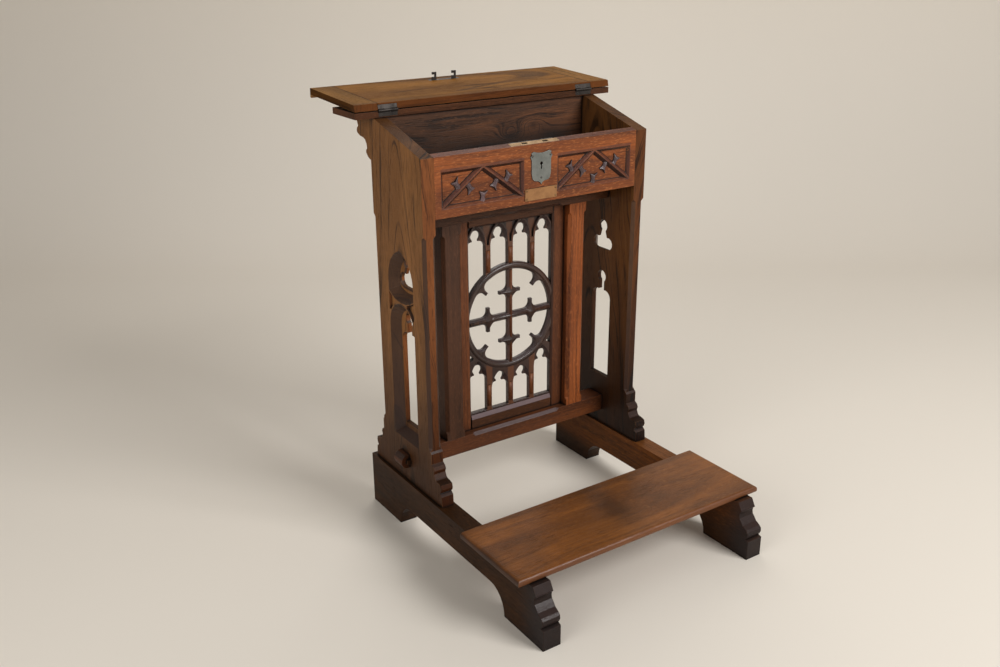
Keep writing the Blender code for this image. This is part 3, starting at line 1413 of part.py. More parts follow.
def build():
    """Model every piece of the lectern."""
    for word, side in (("left", -1), ("right", 1)):
        side_panel(word, side)
        sled_foot(word, side)
        tenon_wedge(word, side)
        post(word, side)
        grille_stile(word, side)
        lid_cleat(word, side)
        hinge_leaf(word, side, True)
        hinge_leaf(word, side, False)
        hinge_pin(word, side)
    kneeler_board()
    lower_stretcher()
    upper_rail()
    grille_rail("top", GRILLE_TOP - GAP, OPENING_TOP, GRILLE_LIP_CHAMFER, -1)
    grille_rail("bottom", GRILLE_BOTTOM + GAP, OPENING_BOTTOM, GRILLE_SILL_SPLAY, 1)
    tracery_panel()
    box_front()
    box_back()
    box_floor()
    top_shelf()
    lid_panel()
    lid_book_lip()
    link_plate()
    lock_selvedge()
    lock_case()
    lock_bolt()
    escutcheon()
    nameplate()


build()
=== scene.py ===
"""Prayer lectern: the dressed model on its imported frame, with floor, soft light and camera."""

import math

import bmesh
import bpy
from mathutils import Matrix, Vector


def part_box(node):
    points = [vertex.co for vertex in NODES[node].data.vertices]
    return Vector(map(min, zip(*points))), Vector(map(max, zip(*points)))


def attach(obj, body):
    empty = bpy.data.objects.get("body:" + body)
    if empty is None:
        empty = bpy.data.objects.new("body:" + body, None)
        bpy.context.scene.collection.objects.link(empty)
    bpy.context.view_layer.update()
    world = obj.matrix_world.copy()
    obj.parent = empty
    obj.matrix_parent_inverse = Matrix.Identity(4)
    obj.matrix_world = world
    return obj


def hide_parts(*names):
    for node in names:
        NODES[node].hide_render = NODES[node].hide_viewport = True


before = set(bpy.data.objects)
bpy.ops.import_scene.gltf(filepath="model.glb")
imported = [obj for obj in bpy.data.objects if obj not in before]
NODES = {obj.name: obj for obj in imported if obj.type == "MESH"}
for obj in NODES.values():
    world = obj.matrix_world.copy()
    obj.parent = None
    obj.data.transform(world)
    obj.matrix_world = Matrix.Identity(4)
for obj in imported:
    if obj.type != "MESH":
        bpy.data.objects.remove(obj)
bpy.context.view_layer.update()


# Camera, floor and light

CAMERA_PLACE = Vector((-1.14808, -1.56626, 1.17102))
CAMERA_TURN = 0.588235
CAMERA_TILT = -0.370789
CAMERA_ROLL = -0.006351
FOCAL_PIXELS = 1029.88
IMAGE_WIDTH = 1000
SENSOR_WIDTH = 36.0

FLOOR_COLOUR = (228, 220, 208)
FLOOR_DIMMEST = 0.96
FLOOR_CLOUDS = 0.8
FLOOR_ROUGHNESS = 0.7
FLOOR_REACH = 6.0
BACKDROP_DISTANCE = 2.6
BACKDROP_HEIGHT = 3.6
SWEEP_RADIUS = 0.9
SWEEP_STEPS = 24

WORLD_COLOUR = (1.0, 0.965, 0.92)
WORLD_STRENGTH = 0.27
AIM = Vector((0.0, 0.0, 0.45))
# Each lamp's place, size and power.
LAMPS = {
    "key": ((1.2, -2.8, 2.4), 1.7, 106.0),
    "fill": ((-2.8, -0.8, 1.7), 1.8, 30.0),
    "back": ((0.9, 1.7, 2.3), 1.4, 12.0),
}


def srgb(red, green, blue):
    """The linear colour of three sRGB steps from 0 to 255."""
    steps = [step / 255 for step in (red, green, blue)]
    linear = [s / 12.92 if s <= 0.04045 else ((s + 0.055) / 1.055) ** 2.4 for s in steps]
    return (*linear, 1.0)


def link(thing):
    bpy.context.scene.collection.objects.link(thing)
    return thing


def add_camera():
    """The photograph's camera, from its place, turn, tilt and roll."""
    right = Vector((math.cos(CAMERA_TURN), -math.sin(CAMERA_TURN), 0))
    ahead = Vector((
        math.sin(CAMERA_TURN) * math.cos(CAMERA_TILT),
        math.cos(CAMERA_TURN) * math.cos(CAMERA_TILT),
        math.sin(CAMERA_TILT),
    ))
    up = right.cross(ahead)
    rolled_right = right * math.cos(CAMERA_ROLL) + up * math.sin(CAMERA_ROLL)
    rolled_up = up * math.cos(CAMERA_ROLL) - right * math.sin(CAMERA_ROLL)
    turn = Matrix((rolled_right, rolled_up, -ahead)).transposed().to_4x4()
    data = bpy.data.cameras.new("camera")
    data.sensor_fit = "HORIZONTAL"
    data.sensor_width = SENSOR_WIDTH
    data.lens = FOCAL_PIXELS * SENSOR_WIDTH / IMAGE_WIDTH
    camera = link(bpy.data.objects.new("camera", data))
    camera.matrix_world = Matrix.Translation(CAMERA_PLACE) @ turn
    bpy.context.scene.camera = camera


def add_lamp(name, place, size, power):
    """A square soft lamp that faces the object."""
    data = bpy.data.lights.new(name, "AREA")
    data.shape = "SQUARE"
    data.size = size
    data.energy = power
    lamp = link(bpy.data.objects.new(name, data))
    lamp.location = place
    lamp.rotation_euler = (AIM - Vector(place)).to_track_quat("-Z", "Y").to_euler()


def add_world():
    world = bpy.data.worlds.new("world")
    bpy.context.scene.world = world
    world.use_nodes = True
    background = world.node_tree.nodes["Background"]
    background.inputs["Color"].default_value = (*WORLD_COLOUR, 1)
    background.inputs["Strength"].default_value = WORLD_STRENGTH


# Materials. A span's mask is 0 at its first number and 1 at its second. Where it has four numbers,
# the last two are its values there.

BENT_EDGE = (0.995, 0.80)
BITE_WIDTH = 0.25


class Finish:
    """One procedural material, its nodes written with short calls."""

    def __init__(self, name):
        self.material = bpy.data.materials.new(name)
        self.material.use_nodes = True
        self.tree = self.material.node_tree
        self.tree.nodes.clear()
        self.shader = self.add("BsdfPrincipled")
        output = self.add("OutputMaterial")
        self.tree.links.new(self.shader.outputs[0], output.inputs[0])

    def add(self, kind, **settings):
        node = self.tree.nodes.new("ShaderNode" + kind)
        for key, value in settings.items():
            setattr(node, key, value)
        return node

    def feed(self, socket, value):
        if isinstance(value, bpy.types.NodeSocket):
            self.tree.links.new(value, socket)
        else:
            socket.default_value = value

    def fed(self, kind, values, **settings):
        """A new node's outputs, with its first inputs fed."""
        node = self.add(kind, **settings)
        for socket, value in zip(node.inputs, values):
            self.feed(socket, value)
        return node.outputs

    def math(self, operation, *values):
        return self.fed("Math", values, operation=operation)[0]

    def times(self, first, second):
        return self.math("MULTIPLY", first, second)

    def larger(self, first, second):
        return self.math("MAXIMUM", first, second)

    def scaled(self, value, factor, rest):
        """The value times the factor, and the rest added."""
        return self.math("MULTIPLY_ADD", value, factor, rest)

    def size(self, value):
        return self.math("ABSOLUTE", value)

    def length(self, first, second):
        """The hypotenuse over two sides."""
        squares = self.math("ADD", self.times(first, first), self.times(second, second))
        return self.math("SQRT", squares)

    def point(self, x, y, z):
        return self.fed("CombineXYZ", (x, y, z))[0]

    def noise(self, place, scale=1.0, detail=2.0, roughness=0.5):
        node = self.add("TexNoise")
        keys = ("Vector", "Scale", "Detail", "Roughness")
        for key, value in zip(keys, (place, scale, detail, roughness)):
            self.feed(node.inputs[key], value)
        return node.outputs["Fac"]

    def span(self, value, low, high, out_low=0.0, out_high=1.0):
        """The value's way from low to high, eased at both ends."""
        values = (value, low, high, out_low, out_high)
        return self.fed("MapRange", values, interpolation_type="SMOOTHSTEP")[0]

    def mix(self, share, first, second, kind="MIX"):
        node = self.add("Mix", data_type="RGBA", blend_type=kind)
        self.feed(node.inputs[0], share)
        self.feed(node.inputs[6], first)
        self.feed(node.inputs[7], second)
        return node.outputs[2]

    def tint(self, colour, mask, share, tone):
        """The colour turned towards a tone by the share where the mask is 1."""
        return self.mix(self.times(mask, share), colour, srgb(*tone))

    def shade(self, colour, mask, factor):
        """The colour times the factor where the mask is 1."""
        return self.mix(mask, colour, (*factor, 1.0), kind="MULTIPLY")

    def roughen(self, gloss, mask, change):
        """The roughness with the change added where the mask is 1."""
        return self.scaled(mask, change, gloss)

    def own(self):
        """The piece's own coordinates as one vector."""
        return self.add("TexCoord").outputs["Object"]

    def at(self, axis):
        """The place along one of the piece's own axes."""
        return self.fed("SeparateXYZ", [self.own()])[axis]

    def facing(self, axis):
        """How far the face looks along an axis, from -1 to 1."""
        return self.fed("SeparateXYZ", [self.add("TexCoord").outputs["Normal"]])[axis]

    def faces(self, axis, ends):
        """The mask of the faces that look along an axis."""
        return self.span(self.facing(axis), *ends)

    def rounded(self, radius):
        """The normal as if the edges were rounded by the radius."""
        node = self.add("Bevel", samples=6)
        node.inputs["Radius"].default_value = radius
        return node.outputs[0]

    def worn_edges(self, radius, grain, bite):
        """A mask of the edges, broken up by the grain."""
        ways = (self.rounded(radius), self.add("NewGeometry").outputs["True Normal"])
        dot = self.fed("VectorMath", ways, operation="DOT_PRODUCT")["Value"]
        edge = self.span(dot, *BENT_EDGE)
        return self.times(edge, self.span(grain, bite, bite + BITE_WIDTH))

    def creases(self, distance):
        """1 in the open and falling to 0 in corners, for the old stain and grime there and for
        painted shade.
        """
        node = self.add("AmbientOcclusion", samples=8)
        node.inputs["Distance"].default_value = distance
        return node.outputs["AO"]

    def bump(self, height, distance, strength, normal):
        node = self.add("Bump")
        self.feed(node.inputs["Height"], height)
        node.inputs["Distance"].default_value = distance
        node.inputs["Strength"].default_value = strength
        self.feed(node.inputs["Normal"], normal)
        return node.outputs[0]


# Oak. A scale is how fast a pattern changes across the grain and along it, per metre.

RING_LINES = 150.0
THIN_LINES = 70.0
LINE_ALONG = 1.1
WAVE_SCALE = (7.0, 2.4)
FADE_SCALE = (30.0, 6.0)
PORE_SCALE = (900.0, 34.0)
FLECK_SCALE = (620.0, 95.0)
FIBRE_SCALE = (260.0, 4.0)
TONE_SCALE = (15.0, 2.0)
PATCH_SCALE = 6.0

SOFT_LINE = (0.40, 0.60)
THIN_LINE = (0.030, 0.006)
FADE = (0.36, 0.56)
PORE = (0.55, 0.66)
PORE_IN_LINE = 0.6
PORE_BESIDE = 0.4
FLECK = (0.56, 0.68)
TONE = (0.34, 0.66)
FIBRE = (0.40, 0.70, 0.0, 0.45)
SOFT_LINE_SHARE = 0.45
PATCH = (0.50, 0.80)

PORE_ROUGHNESS = 0.20
PATCH_ROUGHNESS = 0.12
COAT_ROUGHNESS = 0.22
EDGE_RADIUS = 0.0014
EDGE_BITE = 0.38
CREASE_REACH = 0.030
CREASE = (0.82, 0.22, 0.0, 0.66)
CREVICE = (0.82, 0.48, 0.0, 0.92)
RELIEF_PORE = -1.0
RELIEF_FIBRE = 0.6
RELIEF_LINE = -0.3
RELIEF_PATCH = 1.2
RELIEF_DEPTH = 0.0005
RELIEF_STRENGTH = 0.5

BLACK = (20, 14, 11)

TONES = ("light", "deep", "line", "fleck")
OAKS = {
    "board": ((146, 77, 31), (98, 48, 18), (48, 23, 11), (188, 116, 62)),
    "post": ((156, 84, 38), (112, 56, 23), (56, 28, 13), (184, 108, 58)),
    "stile": ((112, 61, 28), (74, 38, 17), (38, 21, 11), (138, 82, 46)),
    "shaded": ((80, 48, 29), (58, 35, 21), (34, 21, 14), (108, 68, 44)),
    "rail": ((92, 52, 25), (66, 37, 18), (38, 22, 13), (116, 70, 40)),
    "side": ((156, 107, 61), (120, 79, 42), (36, 25, 18), (160, 114, 72)),
    "sled": ((66, 36, 8), (42, 22, 5), (18, 10, 5), (90, 54, 22)),
    "tracery": ((70, 43, 31), (48, 31, 24), (26, 18, 15), (96, 66, 50)),
    # The carving tones are a dark stain with a painted cool sheen.
    "carving": ((104, 82, 84), (62, 46, 47), (30, 21, 21), (140, 124, 126)),
    "kneeler": ((146, 86, 29), (96, 53, 14), (46, 25, 9), (168, 108, 48)),
    "lid": ((156, 104, 38), (118, 75, 25), (50, 30, 15), (164, 114, 58)),
    "cleat": ((154, 106, 46), (116, 78, 32), (52, 34, 18), (160, 118, 70)),
    "inside": ((116, 72, 44), (72, 46, 30), (18, 14, 12), (130, 86, 56)),
}

# A knot or mark is its middle and its reach, both along and across the grain, and its strength.
LOOK = dict(
    lean=0.0, seed=0.0, wander=0.02, lines=0.5, density=1.0, pores=0.6, flecks=0.3, slant=0.0,
    stain=0.3, knots=(), marks=(), paint=None, coat=0.05, gloss=0.44, wear=0.5, specular=0.26,
    crevice=0.008,
)


def wood_place(wood, ways, look):
    """The place along the grain, across the face and into the depth, gently waved."""
    along, side = (wood.at(axis) for axis in ways)
    depth = wood.at(({"X", "Y", "Z"} - set(ways)).pop())
    quick, slow = WAVE_SCALE
    wave = wood.noise(
        wood.point(
            wood.scaled(side, quick, look["seed"]),
            wood.scaled(along, slow, look["seed"]),
            wood.times(depth, quick),
        ),
        detail=3.0,
    )
    off = wood.math("SUBTRACT", wave, 0.5)
    return along, wood.scaled(off, look["wander"], side), depth


def bell(wood, place, mark):
    """A soft round spot: 1 in its middle, 0 beyond its reach along and across the grain."""
    squares = []
    for value, middle, reach in zip(place, mark[:2], mark[2:]):
        off = wood.math("DIVIDE", wood.math("SUBTRACT", value, middle), reach)
        squares.append(wood.times(off, off))
    return wood.math("EXPONENT", wood.times(wood.math("ADD", *squares), -1.0))


def ring_radius(wood, place, heart, look):
    """The distance from the tree's heart line, which leans, and which the knots push aside."""
    along, side, depth = place
    off_side = wood.math("SUBTRACT", side, heart[0])
    off_depth = wood.math("SUBTRACT", depth, heart[1])
    radius = wood.scaled(along, look["lean"], wood.length(off_side, off_depth))
    for *knot, push in look["knots"]:
        radius = wood.scaled(bell(wood, place, knot), push, radius)
    return radius


def stretched(wood, place, scale, look, detail):
    """A noise drawn out along the grain."""
    along, side, depth = place
    quick, slow = scale
    return wood.noise(
        wood.point(
            wood.times(side, quick),
            wood.scaled(along, slow, look["seed"]),
            wood.times(depth, quick),
        ),
        detail=detail,
    )


def year_lines(wood, place, heart, look):
    """The soft year lines, and the thin dark ones that come and go along the board."""
    radius = ring_radius(wood, place, heart, look)

    def lines(scale, **texture):
        along = wood.scaled(place[0], LINE_ALONG, look["seed"])
        across = wood.times(radius, scale * look["density"])
        return wood.noise(wood.point(across, along, 0.0), **texture)

    soft = wood.span(lines(RING_LINES, detail=4.0, roughness=0.62), *SOFT_LINE)
    off_line = wood.size(wood.math("SUBTRACT", lines(THIN_LINES), 0.5))
    fading = stretched(wood, place, FADE_SCALE, look, 2.0)
    return soft, wood.times(wood.span(off_line, *THIN_LINE), wood.span(fading, *FADE))


def wood_fields(wood, place, heart, look):
    """The masks of all that the wood shows."""
    along, side, depth = place
    soft, thin = year_lines(wood, place, heart, look)
    pores = wood.times(
        wood.span(stretched(wood, place, PORE_SCALE, look, 1.0), *PORE),
        wood.scaled(soft, PORE_IN_LINE, PORE_BESIDE),
    )
    slanted = wood.scaled(side, look["slant"], along)
    rays = stretched(wood, (slanted, side, depth), FLECK_SCALE, look, 1.0)
    return dict(
        soft=soft, thin=thin, pores=pores,
        flecks=wood.span(rays, *FLECK),
        fibres=stretched(wood, place, FIBRE_SCALE, look, 3.0),
        tones=stretched(wood, place, TONE_SCALE, look, 4.0),
        patches=wood.noise(wood.own(), scale=PATCH_SCALE, detail=4.0, roughness=0.6),
    )


def wood_colour(wood, place, fields, colours, look):
    """The bare wood: broad tones, then fibres, lines, rays and pores, then stains."""
    colour = wood.mix(wood.span(fields["tones"], *TONE), colours["light"], colours["deep"])
    layers = [
        (wood.span(fields["fibres"], *FIBRE), "deep"),
        (wood.times(fields["soft"], SOFT_LINE_SHARE * look["lines"]), "deep"),
        (wood.times(fields["thin"], look["lines"]), "line"),
        (wood.times(fields["flecks"], look["flecks"]), "fleck"),
        (wood.times(fields["pores"], look["pores"]), "line"),
        (wood.span(fields["patches"], *PATCH, 0.0, look["stain"]), "line"),
    ]
    for *mark, share in look["marks"]:
        layers.append((wood.times(bell(wood, place, mark), share), "line"))
    for share, key in layers:
        colour = wood.mix(share, colour, colours[key])
    return colour


def age(wood, colour, fields, colours, look):
    """Rubbed edges, and old stain with painted shade in creases and crevices."""
    worn = wood.worn_edges(EDGE_RADIUS, fields["fibres"], EDGE_BITE)
    colour = wood.mix(wood.times(worn, look["wear"]), colour, colours["fleck"])
    # Painted shade: creases and crevices turned towards black by ambient occlusion, standing also
    # for old stain held there.
    for reach, held in ((CREASE_REACH, CREASE), (look["crevice"], CREVICE)):
        colour = wood.mix(wood.span(wood.creases(reach), *held), colour, srgb(*BLACK))
    return colour


def oak(name, kind, ways, heart, **choices):
    """Old waxed oak. Its year lines are cones round a heart line beside the board, so that flat
    boards show cathedrals and edges straight lines; pores, rays and stains lie over them.
    ways: the axes along the grain and across it."""
    look = LOOK | choices
    colours = {key: srgb(*tone) for key, tone in zip(TONES, OAKS[kind])}
    wood = Finish(name)
    place = wood_place(wood, ways, look)
    fields = wood_fields(wood, place, heart, look)
    colour = wood_colour(wood, place, fields, colours, look)
    gloss = wood.scaled(fields["pores"], PORE_ROUGHNESS, look["gloss"])
    gloss = wood.roughen(gloss, fields["patches"], PATCH_ROUGHNESS)
    if look["paint"] is not None:
        colour, gloss = look["paint"](wood, colour, gloss)
    colour = age(wood, colour, fields, colours, look)
    height = wood.times(fields["fibres"], RELIEF_FIBRE)
    for key, rise in (("pores", RELIEF_PORE), ("thin", RELIEF_LINE), ("patches", RELIEF_PATCH)):
        height = wood.scaled(fields[key], rise, height)
    normal = wood.bump(height, RELIEF_DEPTH, RELIEF_STRENGTH, wood.rounded(EDGE_RADIUS))
    shader = wood.shader.inputs
    wood.feed(shader["Base Color"], colour)
    wood.feed(shader["Roughness"], gloss)
    shader["Specular IOR Level"].default_value = look["specular"]
    shader["Coat Weight"].default_value = look["coat"]
    shader["Coat Roughness"].default_value = COAT_ROUGHNESS
    wood.feed(shader["Normal"], normal)
    return wood.material


# Old stain, polish, painted shade and painted sheen where carving and faces differ. A tone is its
# share and its colour.

UPWARD = (0.80, 0.95)
FORWARD = (-0.80, -0.97)
INWARD = (0.80, 0.97)
ENDWARD = (0.50, 0.90)
SPLAYED = (-0.97, -0.80)
OBLIQUE = (0.955, 0.84)
# A dark stain with painted shade and a painted cool sheen, on carved faces.
CARVED = (56, 42, 38)
CARVED_POLISH = -0.14


def paint_carved(wood, colour, gloss, share=0.62):
    """Splays and mouldings, on which the dark stain is thicker and the polish brighter; the tint
    also holds painted shade and a painted cool sheen.
    """
    across, ahead, up = (wood.size(wood.facing(axis)) for axis in "XYZ")
    squarest = wood.larger(wood.larger(across, ahead), up)
    carved = wood.span(squarest, *OBLIQUE)
    return wood.tint(colour, carved, share, CARVED), wood.roughen(gloss, carved, CARVED_POLISH)


SIDE_EDGE_SHADE = {-1: (0.86, 0.64, 0.56), 1: (0.34, 0.24, 0.18)}
SIDE_INNER_SHADE = (0.50, 0.44, 0.36)
SIDE_TOP_SHADE = (0.40, 0.36, 0.30)
SIDE_TOP_ROUGHNESS = 0.16
SIDE_FOOT_SHADE = (0.17, 0.125, 0.08)
SIDE_FOOT_RISE = (0.56, 0.10)
SIDE_CARVED = 0.80


def paint_side_shade(way):
    """A side panel: a redder front edge, and painted shade on its front edge (deep on the right
    panel), on its inner face, on its top and towards its foot. way is the side it is on.
    """
    def paint(wood, colour, gloss):
        edge = wood.faces("Y", FORWARD)
        inner = wood.span(wood.times(wood.facing("X"), -way), *INWARD)
        top = wood.faces("Z", UPWARD)
        # Painted shade on the front edge, the inner face, the top and towards the foot.
        colour = wood.shade(colour, edge, SIDE_EDGE_SHADE[way])
        colour = wood.shade(colour, inner, SIDE_INNER_SHADE)
        colour = wood.shade(colour, top, SIDE_TOP_SHADE)
        colour = wood.shade(colour, wood.span(wood.at("Z"), *SIDE_FOOT_RISE), SIDE_FOOT_SHADE)
        gloss = wood.roughen(gloss, top, SIDE_TOP_ROUGHNESS)
        return paint_carved(wood, colour, gloss, SIDE_CARVED)
    return paint


# The edges of both carved fields, from the board's foot, head and middle, then depths in them.
FIELD_FOOT = (0.0150, 0.0164)
FIELD_HEAD = (0.0266, 0.0280)
FIELD_INNER = (0.0380, 0.0396)
FIELD_OUTER = (0.2236, 0.2220)
RAISED = (0.0056, 0.0048)
RAISED_SHARE = 0.7
FIELD_SPLAYED = (-0.97, -0.85)
SPLAY_FOOT = (0.0036, 0.0054)
FIELD_SILL = (0.60, 0.68, 1.0, 0.45)
DOWNWARD = (-0.15, -0.40)
RIGHTWARD = (0.50, 0.65)
UNDER_SHARE = 0.80
FIELD_SHADOW_SHARE = 0.90
FIELD_STAIN_AND_SHEEN = (0.72, (68, 44, 42))
FIELD_POLISH = -0.16
BOARD_TOP_SHADE = (0.66, 0.56, 0.46)


def carved_fields(wood):
    """The mask of the front board's two sunk fields."""
    low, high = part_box("box_front")
    up = wood.at("Z")
    out = wood.size(wood.at("X"))
    fields = wood.times(
        wood.span(up, *(low.z + rise for rise in FIELD_FOOT)),
        wood.span(up, *(high.z - drop for drop in FIELD_HEAD)),
    )
    fields = wood.times(fields, wood.span(out, *FIELD_INNER))
    return wood.times(fields, wood.span(out, *FIELD_OUTER))


def paint_board(wood, colour, gloss):
    """The front board: dark stain with a painted cool sheen on rafters and splays, a painted black
    shadow in their shelter, and painted shade on its top.
    """
    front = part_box("box_front")[0].y
    fields = carved_fields(wood)
    depth = wood.at("Y")
    up = wood.facing("Z")
    splayed = wood.faces("Y", FIELD_SPLAYED)
    raised = wood.span(depth, *(front + level for level in RAISED))
    dark = wood.larger(splayed, wood.times(raised, RAISED_SHARE))
    dark = wood.times(wood.times(fields, dark), wood.span(up, *FIELD_SILL))
    # Dark stain with a painted cool sheen on the splays and raised rafters.
    colour = wood.tint(colour, dark, *FIELD_STAIN_AND_SHEEN)
    # Painted shadow: black at the foot of the splays and on faces that look down or to the right.
    foot = wood.span(depth, *(front + level for level in SPLAY_FOOT))
    foot = wood.times(wood.times(fields, splayed), foot)
    under = wood.larger(wood.span(up, *DOWNWARD), wood.faces("X", RIGHTWARD))
    under = wood.times(wood.times(fields, under), UNDER_SHARE)
    colour = wood.tint(colour, wood.larger(foot, under), FIELD_SHADOW_SHARE, BLACK)
    # Painted shade on the faces that look up.
    colour = wood.shade(colour, wood.span(up, *UPWARD), BOARD_TOP_SHADE)
    return colour, wood.roughen(gloss, dark, FIELD_POLISH)


# The grille's ring, its bars and the stars on them, from the middle of the ring

RING_HEIGHT = 0.4205
RING_CREST = 0.1102
RING_CREST_HALF = 0.0053
RING_OUTER = 0.1166
RING_INNER = 0.1016
RING_STEPS = 72
LIGHT_PITCH = 0.0551
STAR_PLACE = 0.0535

BAR_EDGE = (0.0080, 0.0072)
BEYOND_RING = (0.1162, 0.1172)
WITHIN_RING = (0.1172, 0.1162)
PAST_RING_INNER = (0.0990, 0.1010)
BAR_TONE = (0.62, (104, 60, 32))
BAR_ON_RING = -0.6
SPLAY_STAIN_AND_SHEEN = (0.50, (62, 50, 52))


def paint_tracery(wood, colour, gloss):
    """The grille: brown upright bars, and a dark ring, crossbar and heads with a cool gloss: a
    brighter polish and a painted cool sheen on the splays.
    """
    x = wood.at("X")
    out = wood.size(x)
    middle = wood.span(out, *BAR_EDGE)
    beside = wood.span(wood.size(wood.math("SUBTRACT", out, LIGHT_PITCH)), *BAR_EDGE)
    reach = wood.length(x, wood.math("SUBTRACT", wood.at("Z"), RING_HEIGHT))
    bars = wood.larger(middle, wood.times(beside, wood.span(reach, *BEYOND_RING)))
    rim = wood.times(wood.span(reach, *PAST_RING_INNER), wood.span(reach, *WITHIN_RING))
    bars = wood.times(bars, wood.scaled(rim, BAR_ON_RING, 1.0))
    colour = wood.tint(colour, bars, *BAR_TONE)
    # Dark stain with a painted cool sheen on the splays.
    splayed = wood.faces("Y", SPLAYED)
    colour = wood.tint(colour, splayed, *SPLAY_STAIN_AND_SHEEN)
    return colour, wood.roughen(gloss, splayed, CARVED_POLISH)


RAIL_CARVED = 0.70
RAIL_REFLECTION = (0.55, (100, 84, 84))
RAIL_UP = (0.25, 0.45)
RAIL_AHEAD = (-0.20, -0.40)
RAIL_END = (0.2620, 0.2640)
RAIL_END_SHADE = (0.55, 0.52, 0.48)
SILL_REFLECTION = (0.75, (140, 124, 130))


def paint_rail(wood, colour, gloss, tone=RAIL_REFLECTION):
    """A rail: cool dark polish on its splays, a painted pale reflection on its upper front splay,
    and dark tenons outside the panels.
    """
    colour, gloss = paint_carved(wood, colour, gloss, RAIL_CARVED)
    # Painted reflection on the splay that looks up and forward.
    splay = wood.times(wood.faces("Z", RAIL_UP), wood.faces("Y", RAIL_AHEAD))
    colour = wood.tint(colour, splay, *tone)
    outside = wood.span(wood.size(wood.at("X")), *RAIL_END)
    return wood.shade(colour, outside, RAIL_END_SHADE), gloss


def paint_sill(wood, colour, gloss):
    """The grille's foot rail: a painted pale blue-grey reflection on its splay."""
    return paint_rail(wood, colour, gloss, SILL_REFLECTION)


SLED_INWARD = (-0.80, -0.95)
SLED_UPPER = (0.020, 0.080)
SLED_UPPER_LIGHT = (3.0, 2.5, 0.8)
SLED_TOP_REFLECTION = (3.2, 3.2, 4.2)
SLED_TOE = (-0.290, -0.362)
TOE_TONE = (0.80, (31, 26, 27))
TOE_POLISH = -0.10
SLED_CARVED = 0.5


def paint_sled(way):
    """A sled: its moulded toe almost black, with a cool gloss; on the right one, painted light on
    the upper inner face and a painted bluish reflection on the top.
    """
    def paint(wood, colour, gloss):
        if way > 0:
            # Painted light on the right sled's upper inner face, and a painted reflection on its
            # top.
            upper = wood.times(wood.faces("X", SLED_INWARD), wood.span(wood.at("Z"), *SLED_UPPER))
            top = wood.faces("Z", UPWARD)
            colour = wood.shade(colour, upper, SLED_UPPER_LIGHT)
            colour = wood.shade(colour, top, SLED_TOP_REFLECTION)
        toe = wood.span(wood.at("Y"), *SLED_TOE)
        colour = wood.tint(colour, toe, *TOE_TONE)
        colour, gloss = paint_carved(wood, colour, gloss, SLED_CARVED)
        return colour, wood.roughen(gloss, toe, TOE_POLISH)
    return paint


NOSING = (-0.25, -0.70)
NOSING_TONE = (0.60, (98, 56, 30))
NOSING_POLISH = -0.04
KNEELER_END = (0.40, 0.36, 0.34)


def paint_kneeler(wood, colour, gloss):
    """The kneeler: a dark rubbed nosing and dark ends."""
    nosing = wood.faces("Y", NOSING)
    colour = wood.tint(colour, nosing, *NOSING_TONE)
    ends = wood.span(wood.size(wood.facing("X")), *ENDWARD)
    return wood.shade(colour, ends, KNEELER_END), wood.roughen(gloss, nosing, NOSING_POLISH)


LID_FORWARD = (-0.50, -0.90)
LID_EDGE = (0.56, 0.38, 0.36)
LID_END = (0.30, 0.24, 0.18)
LID_JOINT = (0.0030, 0.0008, 0.0, 0.55)
LID_RIM = (0.020, 0.004)
LID_RIM_TONE = (84, 50, 28)
LID_RIM_SHARE = 0.45


def paint_lid(wood, colour, gloss):
    """The lid: a redder, darker hinge edge, dark ends and a dark joint beside each cleat."""
    low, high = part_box("lid_panel")
    colour = wood.shade(colour, wood.faces("Y", LID_FORWARD), LID_EDGE)
    ends = wood.span(wood.size(wood.facing("X")), *ENDWARD)
    colour = wood.shade(colour, ends, LID_END)
    out = wood.size(wood.at("X"))
    joint = wood.span(wood.size(wood.math("SUBTRACT", out, high.x)), *LID_JOINT)
    colour = wood.mix(joint, colour, srgb(*BLACK))
    rim = wood.span(wood.at("Y"), *(low.y + gap for gap in LID_RIM), 0.0, LID_RIM_SHARE)
    return wood.mix(rim, colour, srgb(*LID_RIM_TONE)), gloss


# Metal

CLOUD_SCALE = 55.0
CLOUD = (0.35, 0.70)
CLOUD_ROUGHNESS = 0.30
SPOT_SCALE = 420.0
SPOT = (0.56, 0.80, 0.0, 0.5)
SCRATCH_SCALE = (180.0, 180.0, 1900.0)
CORNER_DIRT_AND_SHADE = (20, 18, 16)
CORNER_DIRT_AND_SHADE_REACH = 0.006
CORNER_DIRT_AND_SHADE_HELD = (0.8, 0.3, 0.0, 0.7)
METAL_EDGE = 0.0009
METAL_EDGE_BITE = 0.30
METAL_ROUNDING = 0.0006
METAL_RELIEF = 0.0002
METAL_STRENGTH = 0.35
SCRATCH_RELIEF = 0.3
CLOUD_RELIEF = 0.8

METALS = {
    "pewter": ((126, 128, 123), (108, 110, 105), (168, 170, 164), 0.75, 0.34),
    "old_brass": ((160, 116, 74), (140, 99, 62), (98, 68, 42), 0.60, 0.42),
    "stud_steel": ((92, 90, 86), (66, 63, 60), (176, 176, 170), 0.8, 0.28),
    "brass_tacks": ((128, 96, 62), (100, 72, 46), (206, 172, 124), 0.7, 0.30),
    "pale_brass": ((184, 150, 108), (154, 122, 86), (210, 180, 138), 0.6, 0.38),
    "dark_iron": ((64, 58, 54), (46, 41, 38), (104, 98, 92), 0.7, 0.36),
}


